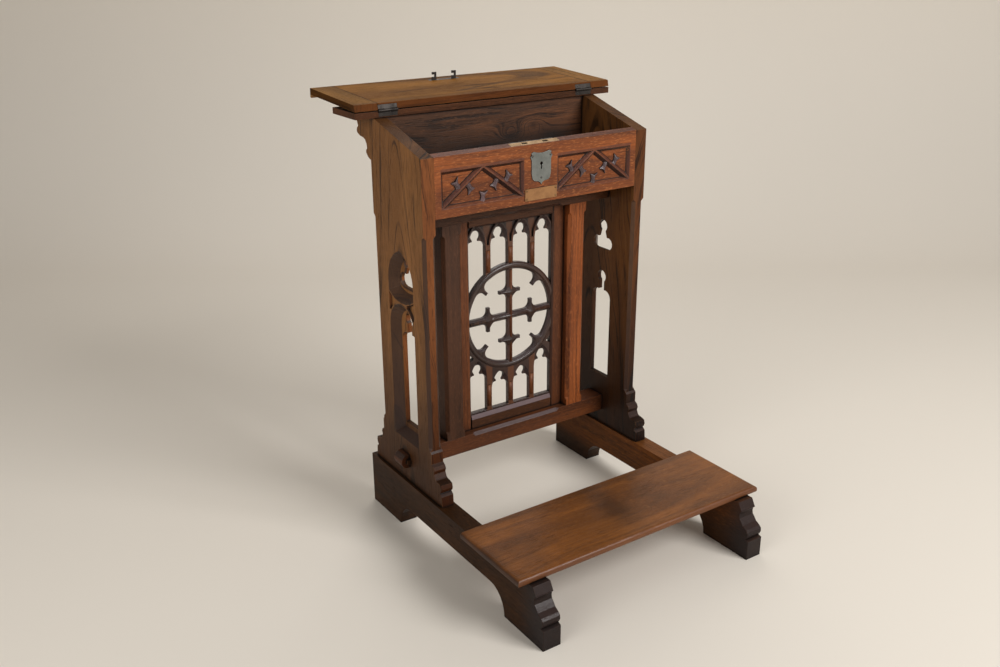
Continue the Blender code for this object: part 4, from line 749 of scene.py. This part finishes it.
def worn_metal(name, base, tarnish, rubbed, metallic, roughness):
    """Old metal: clouded tarnish, fine scratches, rubbed edges, and grime with painted shade in
    corners.
    """
    metal = Finish(name)
    clouds = metal.noise(metal.own(), scale=CLOUD_SCALE, detail=4.0, roughness=0.6)
    spots = metal.noise(metal.own(), scale=SPOT_SCALE, detail=3.0)
    scratched = (metal.times(metal.at(a), scale) for a, scale in zip("XYZ", SCRATCH_SCALE))
    scratches = metal.noise(metal.point(*scratched), detail=2.0)
    colour = metal.mix(metal.span(clouds, *CLOUD), srgb(*base), srgb(*tarnish))
    colour = metal.mix(metal.span(spots, *SPOT), colour, srgb(*tarnish))
    worn = metal.worn_edges(METAL_EDGE, spots, METAL_EDGE_BITE)
    colour = metal.mix(worn, colour, srgb(*rubbed))
    # Grime and painted shade: corners darkened by ambient occlusion.
    held = metal.span(metal.creases(CORNER_DIRT_AND_SHADE_REACH), *CORNER_DIRT_AND_SHADE_HELD)
    colour = metal.mix(held, colour, srgb(*CORNER_DIRT_AND_SHADE))
    height = metal.times(clouds, CLOUD_RELIEF)
    height = metal.scaled(scratches, SCRATCH_RELIEF, height)
    edges = metal.rounded(METAL_ROUNDING)
    shader = metal.shader.inputs
    metal.feed(shader["Base Color"], colour)
    shader["Metallic"].default_value = metallic
    gloss = metal.scaled(clouds, CLOUD_ROUGHNESS, roughness)
    metal.feed(shader["Roughness"], gloss)
    metal.feed(shader["Normal"], metal.bump(height, METAL_RELIEF, METAL_STRENGTH, edges))
    return metal.material


# Floor

def floor_surface():
    """The plain pale floor, a touch uneven in tone."""
    finish = Finish("sweep_paint")
    cloud = finish.noise(finish.own(), scale=FLOOR_CLOUDS, detail=2.0)
    pale = srgb(*FLOOR_COLOUR)
    dim = tuple(part * FLOOR_DIMMEST for part in pale[:3]) + (1.0,)
    finish.feed(finish.shader.inputs["Base Color"], finish.mix(cloud, pale, dim))
    finish.shader.inputs["Roughness"].default_value = FLOOR_ROUGHNESS
    return finish.material


def add_sweep():
    """The floor, curved up behind the object into a backdrop that faces the camera."""
    profile = [(-FLOOR_REACH, 0.0)]
    for step in range(SWEEP_STEPS + 1):
        turn = step / SWEEP_STEPS * math.pi / 2
        profile.append((
            BACKDROP_DISTANCE - SWEEP_RADIUS + SWEEP_RADIUS * math.sin(turn),
            SWEEP_RADIUS - SWEEP_RADIUS * math.cos(turn),
        ))
    profile.append((BACKDROP_DISTANCE, BACKDROP_HEIGHT))
    shape = bmesh.new()
    rows = [[shape.verts.new((side, ahead, height)) for side in (-FLOOR_REACH, FLOOR_REACH)]
            for ahead, height in profile]
    for first, second in zip(rows, rows[1:]):
        shape.faces.new((first[0], first[1], second[1], second[0])).smooth = True
    sweep = make_object("sweep", shape)
    sweep.rotation_euler = (0, 0, -CAMERA_TURN)
    sweep.data.materials.append(floor_surface())


# The finish of each frame piece

DULL = dict(coat=0.0, gloss=0.58, specular=0.05, paint=paint_lid)


def dress(node, material):
    mesh = NODES[node].data
    mesh.materials.clear()
    mesh.materials.append(material)


def dress_side(hand, way, number):
    """The pieces that stand once on each side."""
    dress(hand + "_side_panel", oak(
        hand + "_side_oak", "side", "ZY", (0.075 + 0.03 * number, way * 0.31), lean=0.10,
        seed=3.1 * number, wander=0.05, lines=0.80, pores=0.5, flecks=0.16, stain=0.34,
        paint=paint_side_shade(way), wear=0.6, specular=0.16, coat=0.02,
    ))
    dress(hand + "_sled_foot", oak(
        hand + "_sled_oak", "sled", "YZ", (0.30, 0.05), lean=0.02, seed=4.0 + number,
        pores=0.5, stain=0.4, specular=0.14, coat=0.03, gloss=0.46, paint=paint_sled(way),
    ))
    dress(hand + "_tenon_wedge", oak(
        hand + "_wedge_oak", "sled", "ZY", (0.2, 0.1), seed=6.0 + number,
    ))
    dress(hand + "_post", oak(
        hand + "_post_oak", "post" if way > 0 else "shaded", "ZX", (0.5, 0.3),
        seed=8.0 + number, lines=0.55, flecks=0.34, slant=0.0 if way > 0 else 1.5, stain=0.35,
    ))
    dress("grille_" + hand + "_stile", oak(
        "grille_" + hand + "_oak", "stile", "ZX", (0.4, 0.3), seed=10.0 + number,
        flecks=0.28, stain=0.35, paint=paint_carved,
    ))
    dress("lid_" + hand + "_cleat", oak(
        "lid_" + hand + "_cleat_oak", "cleat", "YX", (0.6, 0.7), seed=12.0 + number,
        flecks=0.2, **DULL,
    ))


def dress_stand():
    """The kneeler, the rails and the grille."""
    dress("kneeler_board", oak(
        "kneeler_oak", "kneeler", "XY", (-0.25, 0.30), lean=0.02, seed=15.0, lines=0.25,
        pores=0.45, flecks=0.25, stain=0.45, coat=0.12, gloss=0.36, specular=0.3,
        paint=paint_kneeler,
        marks=(
            # The first two marks are painted reflection: a dark reflection of the grille post
            # across the board, and the left part kept darker than the right part, which a
            # reflection lightens.
            (0.0, -0.22, 0.030, 0.09, 0.60), (-0.10, -0.27, 0.12, 0.07, 0.40),
            (0.10, -0.17, 0.010, 0.005, 0.5), (0.0, -0.155, 0.50, 0.010, 0.35),
            (-0.291, -0.25, 0.012, 0.15, 0.5),
        ),
    ))
    rails = (
        ("lower_stretcher", "stretcher_oak", "stile", 0.4, 16.0, paint_rail),
        ("upper_rail", "upper_rail_oak", "rail", 0.4, 17.0, paint_carved),
        ("grille_top_rail", "grille_top_oak", "rail", 0.3, 18.0, paint_rail),
        ("grille_bottom_rail", "grille_bottom_oak", "rail", 0.3, 19.0, paint_sill),
    )
    for node, name, kind, heart, seed, paint in rails:
        dress(node, oak(name, kind, "XZ", (heart, 0.3), seed=seed, lines=0.35, paint=paint))
    dress("tracery_panel", oak(
        "tracery_oak", "tracery", "ZX", (0.3, 0.3), seed=20.0, lines=0.3, flecks=0.15,
        gloss=0.36, coat=0.15, specular=0.4, paint=paint_tracery,
    ))


def dress_box():
    """The book box, its shelf and its lid."""
    dress("box_front", oak(
        "box_front_oak", "board", "XZ", (0.45, 0.30), seed=21.0, lean=0.02, lines=0.30,
        pores=0.55, flecks=0.40, stain=0.45, crevice=0.013, paint=paint_board,
    ))
    dress("box_back", oak(
        "box_back_oak", "inside", "XZ", (0.62, 0.16), seed=22.0, lean=0.03, wander=0.05,
        lines=0.75, density=0.8, flecks=0.2, stain=0.7,
        knots=((0.055, 0.792, 0.035, 0.017, 0.035), (0.105, 0.798, 0.030, 0.014, -0.030)),
        marks=(
            (-0.02, 0.772, 0.18, 0.030, 0.97), (0.16, 0.768, 0.08, 0.026, 0.95),
            (0.052, 0.790, 0.014, 0.006, 0.7), (0.108, 0.799, 0.010, 0.005, 0.6),
            (-0.2, 0.80, 0.05, 0.02, 0.5),
        ),
    ))
    dress("box_floor", oak(
        "box_floor_oak", "inside", "XY", (0.3, 0.5), seed=23.0, stain=0.8, lines=0.6,
    ))
    dress("top_shelf", oak(
        "shelf_oak", "rail", "XY", (0.3, 0.8), seed=24.0, lines=0.35, specular=0.16, coat=0.0,
    ))
    dress("lid_panel", oak(
        "lid_oak", "lid", "XY", (0.30, 1.2), lean=0.03, seed=25.0, lines=0.65, density=0.7,
        stain=0.4, **DULL,
        marks=(
            (0.02, 0.225, 0.016, 0.004, 0.9), (0.035, 0.218, 0.012, 0.003, 0.7),
            (-0.2, 0.20, 0.06, 0.012, 0.4), (0.05, 0.205, 0.18, 0.004, 0.45),
        ),
    ))
    dress("lid_book_lip", oak("lid_lip_oak", "lid", "XY", (0.4, 0.7), seed=26.0, lines=0.3))


def dress_metal(metals):
    dress("escutcheon", metals["pewter"])
    dress("nameplate", metals["old_brass"])
    dress("lock_selvedge", metals["pale_brass"])
    for node in ("lock_case", "lock_bolt", "link_plate"):
        dress(node, metals["dark_iron"])
    for hand in ("left", "right"):
        for part in ("_hinge_shelf_leaf", "_hinge_lid_leaf", "_hinge_pin"):
            dress(hand + part, metals["dark_iron"])


# Pins and screws

DOME_SIDES = 16
DOME_RINGS = 4
SCREW_SIDES = 20
SCREW_HALF_SHARE = 0.94
SCREW_HALF_SINK = 1.5
SCREW_TURNS = (0.6, 1.1)

ESCUTCHEON_PIN = dict(radius=0.0025, rise=0.0013, sink=0.0006)
ESCUTCHEON_HALF = 0.0212
ESCUTCHEON_DROP = 0.0080
ESCUTCHEON_RISE = 0.0132
NAMEPLATE_PIN = dict(radius=0.0021, rise=0.0011, sink=0.0006)
NAMEPLATE_INSET = 0.0036
SELVEDGE_SCREW = dict(radius=0.0028, rise=0.0003, slot_half=0.00035, slot_deep=0.0004, sink=0.0008)
SELVEDGE_INSET = 0.008
SELVEDGE_LIFT = 0.0007
DESK_SLOPE = math.radians(15.7)
HINGE_SCREW = dict(radius=0.0022, rise=0.0004, slot_half=0.0003, slot_deep=0.0003, sink=0.0005)
HINGE_SCREW_HALF = 0.013
LID_TILT = math.atan2(0.22, 0.98)
# Of each leaf: its screws' depth and height, the way its face looks, and its body.
HINGE_LEAVES = {
    "shelf": ((0.18105, 0.8546), (0, -1, 0), "stand"),
    "lid": ((0.18270, 0.8692), (0, -math.cos(LID_TILT), math.sin(LID_TILT)), "lid"),
}


def make_object(name, shape):
    """Turns the drawn shape into an object."""
    mesh = bpy.data.meshes.new(name)
    shape.to_mesh(mesh)
    shape.free()
    return link(bpy.data.objects.new(name, mesh))


def make_piece(name, shape, body, material):
    """Turns the drawn shape into a piece that rides on a body."""
    bmesh.ops.recalc_face_normals(shape, faces=shape.faces)
    piece = make_object(name, shape)
    piece.data.materials.append(material)
    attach(piece, body)


def add_band(shape, low, high, soft=()):
    """The faces between two loops of the same count, smooth at the soft steps."""
    for step in range(len(low)):
        after = (step + 1) % len(low)
        face = shape.faces.new((low[step], low[after], high[after], high[step]))
        face.smooth = step in soft


def add_stack(shape, loops, tip, soft=()):
    """Skins a stack of loops, with a flat foot and a pointed tip."""
    for low, high in zip(loops, loops[1:]):
        add_band(shape, low, high, soft)
    last = loops[-1]
    for step in range(len(last)):
        shape.faces.new((last[step], last[(step + 1) % len(last)], tip)).smooth = step in soft
    shape.faces.new(tuple(reversed(loops[0])))


def add_dome(shape, place, radius, rise, sink):
    """A low domed pin head whose foot is let into the face."""
    rows = [(radius, -sink)]
    for ring in range(DOME_RINGS):
        turn = ring / DOME_RINGS * math.pi / 2
        rows.append((radius * math.cos(turn), rise * math.sin(turn)))
    loops = []
    for reach, height in rows:
        turns = (2 * math.pi * step / DOME_SIDES for step in range(DOME_SIDES))
        loops.append([
            shape.verts.new(place @ Vector((reach * math.cos(a), reach * math.sin(a), height)))
            for a in turns
        ])
    add_stack(shape, loops, shape.verts.new(place @ Vector((0, 0, rise))), range(DOME_SIDES))


def add_prism(shape, place, outline, low, high):
    foot = [shape.verts.new(place @ Vector((x, y, low))) for x, y in outline]
    head = [shape.verts.new(place @ Vector((x, y, high))) for x, y in outline]
    add_band(shape, foot, head)
    shape.faces.new(head)
    shape.faces.new(tuple(reversed(foot)))


def add_screw(shape, place, radius, rise, slot_half, slot_deep, sink):
    """A slotted screw head: a base disc with two raised halves."""
    turns = (2 * math.pi * step / SCREW_SIDES for step in range(SCREW_SIDES))
    base = [(radius * math.cos(a), radius * math.sin(a)) for a in turns]
    add_prism(shape, place, base, -sink, rise - slot_deep)
    lean = math.asin(slot_half / radius)
    for way in (1, -1):
        reach = SCREW_HALF_SHARE * radius * way
        half = []
        for step in range(SCREW_SIDES // 2 + 1):
            a = lean + (math.pi - 2 * lean) * step / (SCREW_SIDES // 2)
            half.append((reach * math.cos(a), reach * math.sin(a)))
        add_prism(shape, place, half, rise - slot_deep * SCREW_HALF_SINK, rise)


def add_fixings(name, draw, sizes, places, ahead, body, material, turns=(0.0, 0.0)):
    """The pins or screws of one plate as one piece. turns: the first one's turn and the step."""
    face = Vector(ahead).normalized().to_track_quat("Z", "Y").to_matrix().to_4x4()
    shape = bmesh.new()
    for number, place in enumerate(places):
        spin = Matrix.Rotation(turns[0] + turns[1] * number, 4, "Z")
        draw(shape, Matrix.Translation(place) @ face @ spin, **sizes)
    make_piece(name, shape, body, material)


def add_pins(metals):
    forward = (0, -1, 0)
    low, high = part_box("escutcheon")
    head = high.z - ESCUTCHEON_DROP
    places = [(x, low.y, head) for x in (-ESCUTCHEON_HALF, ESCUTCHEON_HALF)]
    places.append((0.0, low.y, low.z + ESCUTCHEON_RISE))
    add_fixings("escutcheon_pins", add_dome, ESCUTCHEON_PIN, places, forward, "stand",
                metals["stud_steel"])
    low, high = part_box("nameplate")
    gap = NAMEPLATE_INSET
    places = [(x, low.y, z) for x in (low.x + gap, high.x - gap)
              for z in (low.z + gap, high.z - gap)]
    add_fixings("nameplate_pins", add_dome, NAMEPLATE_PIN, places, forward, "stand",
                metals["brass_tacks"])


def add_screws(metals):
    low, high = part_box("lock_selvedge")
    gap = SELVEDGE_INSET
    height = (low.z + high.z) / 2 + SELVEDGE_LIFT
    places = [(x, (low.y + high.y) / 2, height) for x in (low.x + gap, high.x - gap)]
    ahead = (0, -math.sin(DESK_SLOPE), math.cos(DESK_SLOPE))
    add_fixings("selvedge_screws", add_screw, SELVEDGE_SCREW, places, ahead, "stand",
                metals["pale_brass"], SCREW_TURNS)
    for hand in ("left", "right"):
        low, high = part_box(hand + "_hinge_shelf_leaf")
        middle = (low.x + high.x) / 2
        across = (middle - HINGE_SCREW_HALF, middle + HINGE_SCREW_HALF)
        for leaf, (spot, ahead, body) in HINGE_LEAVES.items():
            add_fixings(hand + "_" + leaf + "_leaf_screws", add_screw, HINGE_SCREW,
                        [(x, *spot) for x in across], ahead, body,
                        metals["dark_iron"], SCREW_TURNS)


# Fine carving of the grille: mouldings on its ring and bars, and stars on the crossings

CREST_LIFT = 0.0022
CREST_SINK = 0.0006
CREST_SHOULDER = 0.6
CREST_SHOULDER_LIFT = 0.68
CREST_TOP = 0.12
CROSSBAR_CREST_HALF = 0.0040
ARM_CREST_HALF = 0.0032
ARM_LIFT = 0.00256
BAR_CREST_HALF = 0.0052
BAR_LIFT = 0.0016
BAR_HEAD = 0.5720
BAR_FOOT = 0.2265
BAR_ABOVE_RING = 0.002
LOWER_SPRINGS = 0.2750
MIDDLE_DROP = 0.006
STAR_ALONG = 0.0170
STAR_OUT = 0.0190
STAR_LIFT = 0.0042
STAR_HOLLOW = 2.4
STAR_ROWS = ((1.0, -CREST_SINK), (1.0, 0.0), (0.55, 0.42 * STAR_LIFT), (0.22, 0.80 * STAR_LIFT))
STAR_STEPS = 40


def crest(half, lift):
    """The section of a moulding: a soft ridge with its foot let into the face."""
    rising = [(half, -CREST_SINK), (half, 0.0), (CREST_SHOULDER * half, CREST_SHOULDER_LIFT * lift),
              (CREST_TOP * half, lift)]
    return [(-out, level) for out, level in rising] + rising[::-1]


def add_moulding(shape, front, line, section, closed=False):
    """Sweeps a section along a line on the face. Each point has its place and sideways way."""
    loops = []
    for (x, z), (way_x, way_z) in line:
        loops.append([
            shape.verts.new((x + way_x * out, front - lift, z + way_z * out))
            for out, lift in section
        ])
    pairs = list(zip(loops, loops[1:]))
    if closed:
        pairs.append((loops[-1], loops[0]))
    for first, second in pairs:
        add_band(shape, first, second, range(1, len(section) - 2))
    if not closed:
        shape.faces.new(tuple(reversed(loops[0])))
        shape.faces.new(loops[-1])


def straight(x, z, end_x, end_z):
    """A line's two ends with their sideways way."""
    way = Vector((z - end_z, end_x - x)).normalized()
    return [((x, z), tuple(way)), ((end_x, end_z), tuple(way))]


def hollowed(share):
    """A round's share of its radius, drawn in between the four points of a star."""
    return math.copysign(abs(share) ** STAR_HOLLOW, share)


def add_star(shape, front, middle, along, out):
    """A raised star of four ridges with hollow flanks, on a crossing of spurs."""
    turns = [2 * math.pi * step / STAR_STEPS for step in range(STAR_STEPS)]
    loops = []
    for share, lift in STAR_ROWS:
        loops.append([
            shape.verts.new((
                middle[0] + along * hollowed(math.cos(turn)) * share,
                front - lift,
                middle[1] + out * hollowed(math.sin(turn)) * share,
            ))
            for turn in turns
        ])
    add_stack(shape, loops, shape.verts.new((middle[0], front - STAR_LIFT, middle[1])))


def add_ring_carving(wood):
    """The mouldings of the ring and the crossbar, and the four stars."""
    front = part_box("tracery_panel")[0].y
    ring = []
    for step in range(RING_STEPS):
        turn = 2 * math.pi * step / RING_STEPS
        way = (math.cos(turn), math.sin(turn))
        ring.append(((RING_CREST * way[0], RING_HEIGHT + RING_CREST * way[1]), way))
    crossbar = straight(-RING_INNER, RING_HEIGHT, RING_INNER, RING_HEIGHT)
    shape = bmesh.new()
    add_moulding(shape, front, ring, crest(RING_CREST_HALF, CREST_LIFT), closed=True)
    add_moulding(shape, front, crossbar, crest(CROSSBAR_CREST_HALF, CREST_LIFT))
    for way in (-1, 1):
        add_star(shape, front, (way * STAR_PLACE, RING_HEIGHT), STAR_ALONG, STAR_OUT)
        add_star(shape, front, (0.0, RING_HEIGHT + way * STAR_PLACE), STAR_OUT, STAR_ALONG)
    make_piece("tracery_ring_carving", shape, "stand", wood)


def add_bar_carving(wood):
    """The mouldings of the upright bars, which stop at the ring."""
    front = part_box("tracery_panel")[0].y
    bars = [(0.0, RING_HEIGHT + RING_OUTER, BAR_HEAD)]
    for way in (-1, 1):
        x = way * LIGHT_PITCH
        reach = math.sqrt(RING_OUTER * RING_OUTER - x * x)
        bars.append((x, RING_HEIGHT + reach + BAR_ABOVE_RING, BAR_HEAD))
        bars.append((x, BAR_FOOT, LOWER_SPRINGS))
    bars.append((0.0, BAR_FOOT, LOWER_SPRINGS - MIDDLE_DROP))
    shape = bmesh.new()
    arm = straight(0.0, RING_HEIGHT - RING_INNER, 0.0, RING_HEIGHT + RING_INNER)
    add_moulding(shape, front, arm, crest(ARM_CREST_HALF, ARM_LIFT))
    for x, foot, head in bars:
        add_moulding(shape, front, straight(x, foot, x, head), crest(BAR_CREST_HALF, BAR_LIFT))
    make_piece("tracery_bar_carving", shape, "stand", wood)


# The front board: its sunk fields cut clean, and the crockets in them

RECESS_INNER = 0.040
RECESS_OUTER = 0.2216
RECESS_MIDDLE = (RECESS_INNER + RECESS_OUTER) / 2
RECESS_HALF = (RECESS_OUTER - RECESS_INNER) / 2
RECESS_FOOT = 0.70298
RECESS_HEAD = 0.77148
RECESS_DEPTH = 0.006
RAFTER_RIDGE = 0.0012
RECUT_INSET = 0.00008
RECUT_BELOW = 0.00004
RECUT_ABOVE = 0.001
CROCKET_PLACE = 0.45
CUSP_PLACE = 0.62
CROCKET_LENGTH = 0.0215
CROCKET_CURL = 0.14
CROCKET_SINK = 0.0006
FLANK_HEIGHT = 0.0020
# Rows of a crocket: how far out its ridge and its flanks are, its half width, its ridge's height.
FISHTAIL = (
    (0.0, 0.0, 0.0070, 0.0042), (0.22, 0.22, 0.0054, 0.0047), (0.42, 0.42, 0.0043, 0.0052),
    (0.60, 0.64, 0.0047, 0.0056), (0.74, 0.80, 0.0066, 0.0057), (0.82, 0.93, 0.0088, 0.0053),
    (0.86, 1.0, 0.0094, 0.0046),
)


def inset(outline, gap):
    """A triangle's outline moved inwards by the gap."""
    middle = sum(outline, Vector((0.0, 0.0))) / len(outline)
    moved = []
    for number, point in enumerate(outline):
        ways = []
        after = outline[(number + 1) % len(outline)]
        for start, end in ((outline[number - 1], point), (point, after)):
            way = Vector((start.y - end.y, end.x - start.x)).normalized()
            ways.append(way if way.dot(middle - start) > 0 else -way)
        moved.append(point + (ways[0] + ways[1]) * gap / (1 + ways[0].dot(ways[1])))
    return moved


def sunk_fields(field):
    """The gable and the two corners of one carved field, as triangles on the board's face."""
    slope = (RECESS_HEAD - RECESS_FOOT) / (RECESS_MIDDLE - RECESS_INNER)
    shift = RAFTER_RIDGE * math.sqrt(1 + slope * slope) / slope
    gable = (
        (RECESS_INNER + shift, RECESS_FOOT), (RECESS_OUTER - shift, RECESS_FOOT),
        (RECESS_MIDDLE, RECESS_HEAD - shift * slope),
    )
    near = (
        (RECESS_INNER, RECESS_FOOT + shift), (RECESS_MIDDLE - shift, RECESS_HEAD),
        (RECESS_INNER, RECESS_HEAD),
    )
    far = (
        (RECESS_OUTER, RECESS_FOOT + shift), (RECESS_OUTER, RECESS_HEAD),
        (RECESS_MIDDLE + shift, RECESS_HEAD),
    )
    return [[Vector((field * x, z)) for x, z in outline] for outline in (gable, near, far)]


def recut_tool(front):
    """The solid of all the sunk fields, a hair inside their splays."""
    shape = bmesh.new()
    for field in (-1, 1):
        for outline in sunk_fields(field):
            face, floor = (
                [shape.verts.new((point.x, front + depth, point.y))
                 for point in inset(outline, depth + RECUT_INSET)]
                for depth in (-RECUT_ABOVE, RECESS_DEPTH + RECUT_BELOW)
            )
            add_band(shape, face, floor)
            shape.faces.new(floor)
            shape.faces.new(tuple(reversed(face)))
    bmesh.ops.recalc_face_normals(shape, faces=shape.faces)
    return make_object("recut", shape)


def add_recut_board():
    """The front board with bare sunk fields, for the finer crockets to stand on."""
    node = NODES["box_front"]
    tool = recut_tool(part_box("box_front")[0].y)
    board = link(bpy.data.objects.new("front_board", node.data.copy()))
    board.matrix_world = node.matrix_world
    modifier = board.modifiers.new("recut", "BOOLEAN")
    modifier.operation = "DIFFERENCE"
    modifier.solver = "EXACT"
    modifier.object = tool
    bpy.context.view_layer.update()
    evaluated = board.evaluated_get(bpy.context.evaluated_depsgraph_get())
    clean = bpy.data.meshes.new_from_object(evaluated)
    board.modifiers.remove(modifier)
    board.data = clean
    bpy.data.objects.remove(tool)
    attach(board, "stand")
    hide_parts("box_front")


def add_crocket(shape, floor, root, way, curl):
    """A crocket like a fish's tail: a ridged stem that flares into two ears, hollow-flanked."""
    side = Vector((-way.y, way.x))
    rows = []
    for ridge, flank, half, height in FISHTAIL:
        row = []
        for share, out, lift in (
            (flank, -half, -CROCKET_SINK), (flank, -half, FLANK_HEIGHT), (ridge, 0.0, height),
            (flank, half, FLANK_HEIGHT), (flank, half, -CROCKET_SINK),
            (ridge, 0.0, -CROCKET_SINK),
        ):
            bend = curl * CROCKET_LENGTH * share * share
            at = root + way * (share * CROCKET_LENGTH) + side * (out + bend)
            row.append(shape.verts.new((at.x, floor - lift, at.y)))
        rows.append(row)
    for low, high in zip(rows, rows[1:]):
        add_band(shape, low, high)
    for row in (rows[0], rows[-1]):
        shape.faces.new((row[0], row[1], row[2], row[5]))
        shape.faces.new((row[5], row[2], row[3], row[4]))


def add_board_carving(wood):
    """The crockets of both fields: two over the rafters, two under them and one on the sill."""
    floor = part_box("box_front")[0].y + RECESS_DEPTH
    shape = bmesh.new()
    for field in (-1, 1):
        centre = field * RECESS_MIDDLE
        for hand in (-1, 1):
            foot = Vector((centre + hand * RECESS_HALF, RECESS_FOOT))
            rafter = Vector((centre - foot.x, RECESS_HEAD - RECESS_FOOT))
            up = Vector((rafter.y, -rafter.x)).normalized() * hand
            curl = hand * CROCKET_CURL
            add_crocket(shape, floor, foot + rafter * CROCKET_PLACE, up, curl)
            add_crocket(shape, floor, foot + rafter * CUSP_PLACE, -up, curl)
        add_crocket(shape, floor, Vector((centre, RECESS_FOOT)), Vector((0.0, 1.0)), -CROCKET_CURL)
    make_piece("front_board_carving", shape, "stand", wood)


def dress_all():
    for hand, way, number in (("left", -1, 1), ("right", 1, 2)):
        dress_side(hand, way, number)
    dress_stand()
    dress_box()
    metals = {name: worn_metal(name, *facts) for name, facts in METALS.items()}
    dress_metal(metals)
    add_pins(metals)
    add_screws(metals)
    rubbed = dict(lines=0.2, flecks=0.2, wear=0.7, gloss=0.30, coat=0.2, specular=0.5)
    heart = (0.3, 0.3)
    add_ring_carving(oak("ring_carving_oak", "tracery", "ZX", heart, seed=31.0, **rubbed))
    add_bar_carving(oak("bar_carving_oak", "stile", "ZX", heart, seed=32.0, lines=0.3, wear=0.6))
    add_recut_board()
    add_board_carving(oak("leaf_carving_oak", "carving", "XZ", heart, seed=33.0, **rubbed))


def main():
    bpy.context.scene.view_settings.view_transform = "Standard"
    add_camera()
    add_world()
    for name, facts in LAMPS.items():
        add_lamp(name, *facts)
    add_sweep()
    dress_all()


main()
